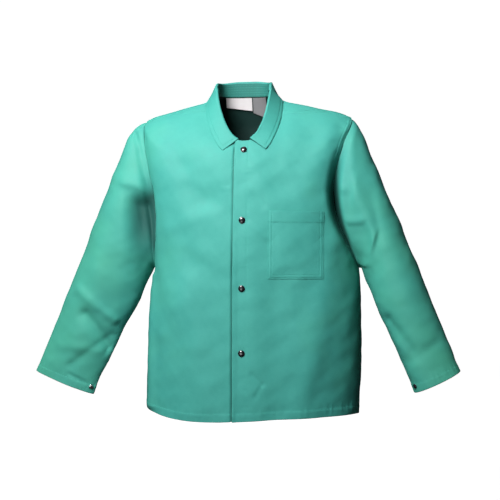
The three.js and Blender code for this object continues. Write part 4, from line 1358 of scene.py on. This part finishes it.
def column_turns(start, end, part):
    """The turns of a panel's columns: even from side to side, and drawn in to the edges last."""
    middle = np.where(start + end > 2 * RIGHT_ANGLE, math.pi, 0.0)

    def wide(turn):
        """The turn of the side seam, for an edge that is on a side of the body."""
        side = middle + np.sign(turn - middle) * RIGHT_ANGLE
        return np.where(np.abs(turn - middle) > 0.6, side, turn)

    low, high = wide(start)[:, None], wide(end)[:, None]
    drawn = (start[:, None] - low) * (1 - part) ** 2.2 + (end[:, None] - high) * part**2.2
    return mix(low, high, part) + drawn


def panel(cut, name, start, end):
    """A panel of the body between two edges, as points, faces and the cloth's own map. The cloth
    is thicker at the hem and at the closing, where it is turned in."""
    b = cut.body
    v, _ = panel_rows()
    turn = column_turns(start, end, smooth_steps(PANELS[name].columns, 0.35))
    rows = np.broadcast_to(v[:, None], turn.shape)
    outer, sunk = Cloth(cut).body_and_sunk(name, turn, rows)
    normals = grid_normals(outer, facing(cut.form, turn, rows))
    at_closing = ease((FACING_WIDTH - np.abs(outer[..., 0])) / INNER_STEP) * (outer[..., 1] < 0)
    at_hem = ease((b.hem_depth - (outer[..., 2] + b.length)) / INNER_STEP)
    thickness = b.cloth * (1 + DOUBLED * np.maximum(at_closing, at_hem))
    return sheet_mesh(outer, normals, thickness, painted_fold_shade(sunk))


def panel_rows_sewn(cut, name, start, end):
    """The rows of stitches of a panel, beside its seams, as far as the panel reaches."""
    v, _ = panel_rows()
    waist, waist_v = 60, 0.3
    middle = cut.form(np.float64((start[waist] + end[waist]) / 2), np.float64(waist_v))
    turn_edge, v_edge = 0.004, (0.001, 0.998)
    rows = []
    for seam in SEAMS[name]:
        for distance in seam.rows:
            turn, height = cut.beside(*cut.tracks[seam.line], distance, middle)
            turn = np.where(turn < start.min() - 0.5, turn + 2 * math.pi, turn)
            low, high = np.interp(height, v, start), np.interp(height, v, end)
            inside = (turn > low + turn_edge) & (turn < high - turn_edge)
            inside &= (height > v_edge[0]) & (height < v_edge[1])
            for turns, heights in pieces_of(inside, turn, height):
                points = Cloth(cut).body(name, turns, heights)
                rows.append((points, facing(cut.form, turns, heights)))
    return rows


class COAT_OT_panels(bpy.types.Operator):
    """Make the back and the two fronts from the body's form, its folds and its seams"""

    bl_idname = "coat.panels"
    bl_label = "Body panels"

    def execute(self, context):
        cut = Cut(context.scene.coat)
        v, beside = panel_rows()
        lap = cut.body.front_lap - cut.body.cloth / 2
        edges = {
            (name, face): side_turn(cut, name, face, v, beside)
            for name in ARMS
            for face in ("front", "back")
        }
        spans = {
            "back_panel": (edges["left", "back"], edges["right", "back"] + 2 * math.pi),
            "left_front": (cut.turn_at(-lap, v), edges["left", "front"]),
            "right_front": (edges["right", "front"], cut.turn_at(lap, v)),
        }
        rows = []
        for name, span in spans.items():
            rows += panel_rows_sewn(cut, name, *span)
            points, faces, *maps = panel(cut, name, *span)
            made = make_piece(name, points, faces, material("sateen"), "sateen", [name], *maps)
        make_piece("body_stitches", *sewn(rows, cut.trim), material("thread"), "sateen")
        return {"FINISHED"}


# Sleeves


def sleeve_rows_sewn(cut, name):
    """The rows of stitches of a sleeve: one round the cuff, and two beside the underarm seam."""
    sleeve = cut.sleeve
    round_ = np.linspace(-math.pi, math.pi, 240)
    w = np.linspace(0.03, 0.995, 400)
    cuff = 1 - (sleeve.cuff_depth - 0.001) / (sleeve.length * ARMS[name].reach)
    tracks = [(round_, 0 * round_ + cuff)]
    tracks += [(0 * w + math.pi - distance / sleeve.depth, w) for distance in FELLED]
    cloth = Cloth(cut)
    return [(cloth.sleeve(name, *track), cut.sleeve_facing(ARMS[name], *track)) for track in tracks]


class COAT_OT_sleeves(bpy.types.Operator):
    """Make the two sleeves from ovals between their outer and inner lines, and their folds"""

    bl_idname = "coat.sleeves"
    bl_label = "Sleeves"

    def execute(self, context):
        cut = Cut(context.scene.coat)
        cap, arm_length = np.linspace(0, 0.1, 32), np.linspace(0.1, 0.94, 140)
        rows = np.concatenate([cap[:-1], arm_length[:-1], np.linspace(0.94, 1, 32)])
        round_ = np.linspace(-math.pi, math.pi, 160, endpoint=False)
        round_, w = np.meshgrid(round_, rows)
        for name, arm in ARMS.items():
            outer, sunk = Cloth(cut).sleeve_and_sunk(name, round_, w)
            out = cut.sleeve_facing(arm, round_, w)
            wrapped = [np.concatenate([a[:, -1:], a, a[:, :1]], axis=1) for a in (outer, out)]
            normals = grid_normals(*wrapped)[:, 1:-1]
            from_cuff = (1 - w) * cut.sleeve.length
            turned = ease((cut.sleeve.cuff_depth * 1.1 - from_cuff) / INNER_STEP)
            thickness = cut.body.cloth * (1 + DOUBLED * turned)
            points, faces, *maps = tube_mesh(outer, normals, thickness, painted_fold_shade(sunk))
            node = name + "_sleeve"
            made = make_piece(node, points, faces, material("sateen"), "sateen", [node], *maps)
        rows = [row for name in ARMS for row in sleeve_rows_sewn(cut, name)]
        make_piece("sleeve_stitches", *sewn(rows, cut.trim), material("thread"), "sateen")
        return {"FINISHED"}


# Collar


def collar_sections(cut, part):
    """The collar's sections at shares of the way round the neck: each has the neck seam's point,
    the way its stand rises, the way out from the neck, and its sizes."""
    b, c = cut.body, cut.collar
    front = float(cut.turn_at(0.76 * b.front_lap, np.float64(1)))
    turn = mix(front, 2 * math.pi - front, part)
    v = np.ones_like(turn)
    lap = cut.lap_lift(cut.shell(turn, v)[..., 0]) * (part < 0.5) * ease(3 * np.cos(turn))
    seam = cut.shell(turn, v) + facing(cut.form, turn, v) * lap[..., None]
    along = unit(cut.shell(turn + 2 * STEP, v) - cut.shell(turn - 2 * STEP, v))
    up = np.zeros_like(along) + [0, 0, 1]
    up = unit(up - along * along[..., 2:])
    rounding = 0.06
    to_front = np.hypot(2 * part - 1, rounding) - rounding
    to_back = 1 - to_front / (math.hypot(1, rounding) - rounding)
    return {
        "turn": turn,
        "lap": part < 0.5,
        "seam": seam + up * 2 * b.gap,
        "along": along * np.where(part < 0.5, 1, -1)[..., None],
        "up": up,
        "away": np.cross(along, up),
        "stand": c.back_stand * cut.stand_share(to_back),
        "fall": mix(c.point, c.back_fall, ease(to_back * 4)) * cut.fall_share(to_back),
        "spread": c.spread * (1 - ease(to_back * 5)),
    }


# Where the stand ends and the roll ends, as shares of the way from the neck seam to the outer edge
STAND_END = 0.36
ROLL_END = 0.62
COLLAR_SEAM = Seam("", 0.0075, -0.0003, (0.0065,), 0.00025, 0.012)
STAND_ROWS = (0.12, 0.3, 0.48, 0.66, 0.84)

# How dark shade is painted on the stand's neck side, which lies in the shade inside the neck
STAND_PAINTED_SHADE = 0.45


def collar_points(cut, parts, bend, s):
    """Points of the collar: straight up the stand, round the roll through bend, and down the fall.
    s goes from 0 at the neck seam to 1 at the outer edge."""
    c = cut.collar
    stand, fall = parts["stand"][:, None], parts["fall"][:, None]
    angle = bend[:, None] * np.clip((s - STAND_END) / (ROLL_END - STAND_END), 0, 1)
    down = np.maximum(0, (s - ROLL_END) / (1 - ROLL_END))
    length = (fall - c.roll * bend[:, None] / 2) * down
    rise = np.minimum(s / STAND_END, 1)
    out = -c.lean * stand * rise + c.roll * (1 - np.cos(angle)) + length * np.sin(bend)[:, None]
    up = stand * rise + c.roll * np.sin(angle) + length * np.cos(bend)[:, None]
    points = parts["seam"][:, None]
    for way, far in (("away", out), ("up", up), ("along", parts["spread"][:, None] * down)):
        points = points + parts[way][:, None] * far[..., None]
    return points


def room_over(cut, parts, points):
    """How far points are off the body, from the foot of each, found by Newton's steps."""
    turn = np.repeat(parts["turn"][:, None], points.shape[1], axis=1)
    v = np.full(turn.shape, 0.93)

    def surface(turn_, v_):
        """The body, with the lap of the front that this half of the collar is over."""
        shell = cut.shell(turn_, v_)
        lap = cut.lap_lift(shell[..., 0]) * parts["lap"][:, None] * (np.cos(turn_) > 0)
        return shell + facing(cut.form, turn_, v_) * lap[..., None]

    for _ in range(8):
        here = surface(turn, v)
        across = (surface(turn + STEP, v) - here) / STEP
        up = (here - surface(turn, v - STEP)) / STEP
        more_turn, more_v = steps_to(points - here, across, up)
        turn, v = turn + more_turn, np.clip(v + more_v, 0, 1)
    return dot(points - surface(turn, v), facing(surface, turn, v))


def collar_bend(cut, parts):
    """The bend at which the fall comes down to just off the body, found by halving."""
    clearance = cut.collar.cloth / 2 + 2.5 * cut.body.gap
    low = np.full(len(parts["turn"]), math.radians(95))
    high = np.full(len(parts["turn"]), math.radians(176))
    for _ in range(12):
        bend = (low + high) / 2
        points = collar_points(cut, parts, bend, np.array([[0.8, 0.9, 1.0]]))
        clear = room_over(cut, parts, points).min(axis=1) > clearance
        low, high = np.where(clear, bend, low), np.where(clear, high, bend)
    return low


def collar_face(cut, part, s):
    """The middle of the collar's cloth on a grid, with its bend evened out over nine sections, and
    the direction off it, which is outwards on the fall."""
    parts = collar_sections(cut, part)
    bend = collar_bend(cut, parts)
    weights = hump(np.linspace(-1.5, 1.5, 9))
    padded = np.pad(bend, len(weights) // 2, mode="edge")
    bend = np.minimum(bend, np.convolve(padded, weights, "valid") / weights.sum())
    middle = collar_points(cut, parts, bend, s[None, :])
    normals = unit(np.cross(np.gradient(middle, axis=0), np.gradient(middle, axis=1)))
    at_back, on_fall = len(part) // 2, -5
    return middle, normals * np.sign(normals[at_back, on_fall] @ [0, 1, 0.3])


def sampled(grid, row, column):
    """The values of a grid between its points, at rows and columns that needn't be whole."""
    i = np.clip(row.astype(int), 0, grid.shape[0] - 2)
    j = np.clip(column.astype(int), 0, grid.shape[1] - 2)
    p, q = (row - i)[:, None], (column - j)[:, None]
    near = mix(grid[i, j], grid[i, j + 1], q)
    return mix(near, mix(grid[i + 1, j], grid[i + 1, j + 1], q), p)


def collar_rows_sewn(outer, normals, uv, s):
    """The collar's rows of stitches: one along its outer edge and both ends, and five that run
    round its stand, on the neck's side."""
    inset = COLLAR_SEAM.rows[0]
    rows, columns = np.arange(len(outer)), np.arange(len(s))
    first = np.array([np.interp(inset, uv[:, j, 1], rows) for j in columns])
    last = np.array([np.interp(uv[-1, j, 1] - inset, uv[:, j, 1], rows) for j in columns])
    low = np.array([np.interp(uv[i, -1, 0] - inset, uv[i, :, 0], columns) for i in rows])
    inside = rows[(rows > first[-1]) & (rows < last[-1])]
    fall = columns[(s > ROLL_END) & (columns < low.min())]
    path_rows = np.concatenate([first[fall], inside, last[fall][::-1]])
    path_columns = np.concatenate([fall, low[inside], fall[::-1]])
    tracks = [(path_rows, path_columns)]
    from_end = 24
    round_ = rows[from_end:-from_end] * 1.0
    for part in STAND_ROWS:
        tracks.append((round_, 0 * round_ + np.interp(part * STAND_END, s, columns)))
    return [(sampled(outer, *track), sampled(normals, *track)) for track in tracks]


class COAT_OT_collar(bpy.types.Operator):
    """Make the collar: a stand, a roll and a fall carried round the neck seam"""

    bl_idname = "coat.collar"
    bl_label = "Collar"

    def execute(self, context):
        cut = Cut(context.scene.coat)
        part = smooth_steps(240, 0.4)
        stand = np.linspace(0, STAND_END, 16)[:-1]
        roll = np.linspace(STAND_END, ROLL_END, 14)[:-1]
        fall = ROLL_END + (1 - ROLL_END) * smooth_steps(34, 0.4)
        s = np.concatenate([stand, roll, fall])
        middle, normals = collar_face(cut, part, s)
        uv = lengths(middle)
        from_edge = uv[:, -1:, 0] - uv[..., 0]
        from_ends = np.minimum(uv[..., 1], uv[-1:, :, 1] - uv[..., 1])
        on_fall = s[None, :] > ROLL_END
        far = 1.0
        distance = np.where(on_fall, np.minimum(from_edge, from_ends), far)
        lift = seam_height(COLLAR_SEAM, distance, uv[..., 1], 41) * ease((s - ROLL_END) * 20)
        lift += ripple(middle, 42, 0.05, 0.0003) * on_fall
        outer = middle + normals * (cut.collar.cloth / 2 + lift)[..., None]
        thickness = np.full(lift.shape, cut.collar.cloth)
        # Painted shade on the stand's neck side, inside the neck.
        outer_painted_shade = STAND_PAINTED_SHADE * (s < STAND_END)
        points, faces, *maps = sheet_mesh(outer, normals, thickness, outer_painted_shade)
        made = make_piece("collar", points, faces, material("sateen"), "sateen", ["collar"], *maps)
        rows = collar_rows_sewn(outer, normals, uv, s)
        make_piece("collar_stitches", *sewn(rows, cut.trim), material("thread"), "sateen")
        return {"FINISHED"}


# Pocket and labels


POCKET_SEAM = Seam("", 0.009, 0.0, (0.0018, 0.008), 0.0002, 0.012)
POCKET_HEM = 0.024


def pocket_face(cut, u, w):
    """The pocket's outer face and the direction off it, at u across it and w down it: the front's
    face, raised by the cloth, by the seams, by a low bulge and by the turned top edge."""
    t = cut.trim
    turn, v = cut.seen_at(cut.shell, t.pocket_offset + u, -t.pocket_drop - w, 0.4, 0.5)
    under = Cloth(cut).body("left_front", turn, v)
    out = facing(cut.form, turn, v)
    sides = np.minimum(np.minimum(u, t.pocket_width - u), t.pocket_height - w)
    height = cut.body.cloth * mix(0.75, 1.15, ease(sides / 0.006))
    height += seam_height(POCKET_SEAM, sides, u + w, 51)
    height += 0.0016 * ease(sides / 0.03) * ease((t.pocket_height - w) / 0.05)
    height += 0.0006 * ease((POCKET_HEM + 0.002 - w) / 0.002)
    height -= 0.0003 * hump((w - POCKET_HEM) / 0.001)
    return under + out * height[..., None], out


def pocket_rows_sewn(cut):
    """The pocket's rows of stitches: two round its sewn sides, and one under its top hem."""
    t = cut.trim
    even = np.linspace(0, 1, 90)
    rows = []
    for distance in POCKET_SEAM.rows:
        far = t.pocket_width - distance
        u = np.concatenate([0 * even + distance, mix(distance, far, even), 0 * even + far])
        deep = (t.pocket_height - distance) * even
        w = np.concatenate([deep, 0 * even + deep[-1], deep[::-1]])
        rows.append(pocket_face(cut, u, w))
    rows.append(pocket_face(cut, t.pocket_width * mix(0.02, 0.98, even), 0 * even + POCKET_HEM))
    return rows


class COAT_OT_pocket(bpy.types.Operator):
    """Make the breast pocket: a patch with a turned top edge, sewn round three sides"""

    bl_idname = "coat.pocket"
    bl_label = "Breast pocket"

    def execute(self, context):
        cut = Cut(context.scene.coat)
        t = cut.trim
        across = t.pocket_width * smooth_steps(70, 0.3)
        down = t.pocket_height * smooth_steps(84, 0.3)
        outer, out = pocket_face(cut, *np.meshgrid(across, down))
        edges = np.minimum(across, t.pocket_width - across), t.pocket_height - down
        inside = ease(np.minimum(*np.meshgrid(*edges)) / 0.006)
        thickness = cut.body.cloth * mix(0.5, 0.9, inside)
        points, faces, uv, _ = sheet_mesh(outer, grid_normals(outer, out), thickness)
        node = "breast_pocket"
        made = make_piece(node, points, faces, material("sateen"), "sateen", [node], uv)
        stitches = sewn(pocket_rows_sewn(cut), t)
        make_piece("pocket_stitches", *stitches, material("thread"), "sateen")
        return {"FINISHED"}


# Each label's slot, which is also the name of its colour
LABELS = {"maker_label": "white_label", "care_label": "grey_label"}


class COAT_OT_labels(bpy.types.Operator):
    """Make the two bare tapes that hang inside the back of the neck"""

    bl_idname = "coat.labels"
    bl_label = "Labels"

    def execute(self, context):
        cut = Cut(context.scene.coat)
        t, b = cut.trim, cut.body
        for seed, (name, slot) in enumerate(LABELS.items(), 60):
            start, width, height = (getattr(t, f"{name}_{k}") for k in ("start", "width", "height"))
            u, w = np.meshgrid(width * smooth_steps(34, 0.3), height * smooth_steps(26, 0.3))
            hang = w * mix(0.8, 1.1, u / width)
            x, z = start + u, b.neck_rise - t.label_drop - hang
            turn, v = cut.seen_at(cut.shell, x, z, math.pi, 0.95)
            shell = cut.shell(turn, v)
            inward = -facing(cut.form, turn, v)
            sag = 0.0012 * (w / height) ** 2 + 0.0004 * pucker(u, seed, 0.03) * (w / height)
            outer = shell + inward * (b.cloth + 4 * b.gap + t.label_cloth + sag)[..., None]
            normals = grid_normals(outer, inward)
            points, faces, uv, _ = sheet_mesh(outer, normals, np.full(x.shape, t.label_cloth * 0.8))
            made = make_piece(name, points, faces, material(slot), slot, [name], uv)
        return {"FINISHED"}


# Snaps


def cap_profile(diameter, height):
    """Radius and height of a cap: a rolled rim, a shallow ring groove and a dome."""
    rim = [(0, 0), (0.9, 0), (0.98, 0.1), (1.0, 0.26), (0.97, 0.42), (0.9, 0.5), (0.84, 0.5)]
    dome = [(0.8, 0.56), (0.7, 0.72), (0.56, 0.86), (0.4, 0.95), (0.2, 0.99), (0, 1)]
    return np.array(rim + dome) * (diameter / 2, height)


def stud_profile(diameter, height):
    """Radius and height of a stud: a flat flange with a round post."""
    flange = [(0, 0), (0.95, 0), (1.0, 0.12), (0.97, 0.28), (0.62, 0.42)]
    post = [(0.54, 0.5), (0.5, 0.85), (0.42, 1.0), (0.2, 0.92), (0, 0.9)]
    return np.array(flange + post) * (diameter / 2, height)


# How far round each sleeve its snap is, in degrees, and the snap's finish and slot
CUFF_SNAPS = {
    "right": (155, "nickel", "snap_metal"),
    "left": (150, "black_enamel", "snap_cap"),
}


class COAT_OT_snaps(bpy.types.Operator):
    """Make the front snaps' caps and studs, and the snap of each cuff"""

    bl_idname = "coat.snaps"
    bl_label = "Snaps"

    def execute(self, context):
        cut = Cut(context.scene.coat)
        cloth = Cloth(cut)
        t, b = cut.trim, cut.body
        sides, off_cloth = 40, 0.0002
        for number, share_ in enumerate(SNAP_HEIGHTS, 1):
            height = np.array([-share_ * b.length])
            turn, v = cut.seen_at(cut.shell, np.zeros(1), height, 0, 0.5)
            out = facing(cut.form, turn, v)[0]
            seat = cloth.body("left_front", turn, v)[0] + out * off_cloth
            cap = lathe(cap_profile(t.snap_diameter, t.snap_height), sides, seat, out)
            name = f"snap_cap_{number}"
            make_piece(name, *cap, material("black_enamel"), "snap_cap", [name])
            seat = cloth.body("right_front", turn, v)[0] - out * (2 * b.cloth + b.gap)
            stud = lathe(stud_profile(t.stud_diameter, t.stud_height), sides, seat, -out)
            name = f"snap_stud_{number}"
            make_piece(name, *stud, material("nickel"), "snap_metal", [name])
        w = np.array([1 - 0.75 * cut.sleeve.cuff_depth / cut.sleeve.length])
        for name, (angle, finish, slot) in CUFF_SNAPS.items():
            round_ = np.array([math.radians(angle)])
            out = cut.sleeve_facing(ARMS[name], round_, w)[0]
            seat = cloth.sleeve(name, round_, w)[0] + out * off_cloth
            snap = lathe(cap_profile(t.cuff_snap_diameter, 0.8 * t.snap_height), sides, seat, out)
            node = name + "_cuff_snap"
            make_piece(node, *snap, material(finish), slot, [node])
        return {"FINISHED"}


# Stage


# Each soft light's place, the point that it is turned to, its width and its power
LIGHTS = {
    "key": ((-0.5, -1.3, 0.85), (0, 0, -0.25), 0.6, 49),
    "fill": ((-0.6, -2.6, -0.9), (0, 0, -0.55), 1.2, 15),
    "top": ((-0.2, 0.25, 1.9), (0, 0, -0.3), 1.4, 4),
}


class COAT_OT_stage(bpy.types.Operator):
    """Make the pale bowl that the coat is seen in, the soft lights and the camera"""

    bl_idname = "coat.stage"
    bl_label = "Stage"

    def execute(self, context):
        scene = context.scene
        colours = scene.coat.colours
        graph = Graph("stage")
        constants = {"Base Color": rgba(colours.floor), "Roughness": 0.9, "Emission Strength": 0.95}
        paper = graph.finish({**constants, "Emission Color": (1, 1, 1, 1)}, {})
        floor, bend, wall, top, depth = 4.0, 1.5, 4.0, 7.0, -1.15
        angle = np.linspace(0, RIGHT_ANGLE, 24)
        flat = np.linspace(0.02, floor, 12)[:-1]
        radius = np.concatenate([flat, floor + bend * np.sin(angle), 2 * [floor + bend]])
        height = np.concatenate([0 * flat, bend * (1 - np.cos(angle)), [wall, top]]) + depth
        around = np.linspace(0, 2 * math.pi, 97)
        x, y = radius[:, None] * np.cos(around), radius[:, None] * np.sin(around)
        points = np.stack([x, y, np.broadcast_to(height[:, None], x.shape)], axis=-1)
        data = bpy.data.meshes.new("stage_bowl")
        data.from_pydata(points.reshape(-1, 3), [], quads(numbered(points)).tolist())
        data.shade_smooth()
        data.materials.append(paper)
        bowl = bpy.data.objects.new("stage_bowl", data)
        scene.collection.objects.link(bowl)
        bowl.visible_diffuse = False
        bowl.visible_glossy = False
        for name, lamp in LIGHTS.items():
            self.light(name, *lamp)
        world = bpy.data.worlds.new("studio")
        world.use_nodes = True
        sky = world.node_tree.nodes["Background"]
        sky.inputs["Color"].default_value = (1, 1, 1, 1)
        sky.inputs["Strength"].default_value = 0.03
        scene.world = world
        scene.view_settings.view_transform = "Standard"
        self.camera(scene)
        return {"FINISHED"}

    def light(self, name, place, target, width, power):
        """A square soft light at a place, turned to a target."""
        data = bpy.data.lights.new(name, "AREA")
        data.size = width
        data.energy = power
        made = bpy.data.objects.new(name, data)
        made.location = place
        made.rotation_euler = (Vector(target) - Vector(place)).to_track_quat("-Z", "Y").to_euler()
        bpy.context.scene.collection.objects.link(made)

    def camera(self, scene):
        """A level camera 2.1 m off, a little to the wearer's left, on the middle of the coat."""
        distance, azimuth, height, aim = 2.1, math.radians(6.5), -0.356, 0.003
        image_width, focal_pixels = 500, 886
        data = bpy.data.cameras.new("camera")
        data.lens = data.sensor_width * focal_pixels / image_width
        made = bpy.data.objects.new("camera", data)
        side = Vector((math.cos(azimuth), math.sin(azimuth), 0)) * aim
        back = Vector((math.sin(azimuth), -math.cos(azimuth), 0))
        made.location = side + back * distance + Vector((0, 0, height))
        made.rotation_euler = (-back).to_track_quat("-Z", "Y").to_euler()
        scene.collection.objects.link(made)
        scene.camera = made


class COAT_PT_sidebar(bpy.types.Panel):
    """The coat's operators and sizes in the sidebar"""

    bl_idname = "COAT_PT_sidebar"
    bl_label = "Welding coat"
    bl_space_type = "VIEW_3D"
    bl_region_type = "UI"
    bl_category = "Coat"

    def draw(self, context):
        for operator in OPERATORS:
            self.layout.operator(operator.bl_idname)
        coat = context.scene.coat
        for group in (coat.body, coat.sleeve, coat.collar, coat.trim, coat.colours):
            box = self.layout.box()
            for name in group.__annotations__:
                box.prop(group, name)


OPERATORS = (
    COAT_OT_collar,
    COAT_OT_panels,
    COAT_OT_sleeves,
    COAT_OT_pocket,
    COAT_OT_labels,
    COAT_OT_snaps,
    COAT_OT_stage,
)
GROUPS = (CoatBodySizes, CoatSleeveSizes, CoatCollarSizes, CoatTrimSizes, CoatColours, CoatSettings)
CLASSES = (*GROUPS, *OPERATORS, COAT_PT_sidebar)


def register():
    """Registers the classes and gives the scene its settings."""
    for made in CLASSES:
        bpy.utils.register_class(made)
    bpy.types.Scene.coat = PointerProperty(type=CoatSettings)


def unregister():
    """Takes the settings and the classes away again."""
    del bpy.types.Scene.coat
    for made in reversed(CLASSES):
        bpy.utils.unregister_class(made)


def main():
    """Makes the whole scene."""
    register()
    for operator in OPERATORS:
        getattr(bpy.ops.coat, operator.bl_idname.split(".")[1])()


if __name__ == "__main__":
    main()
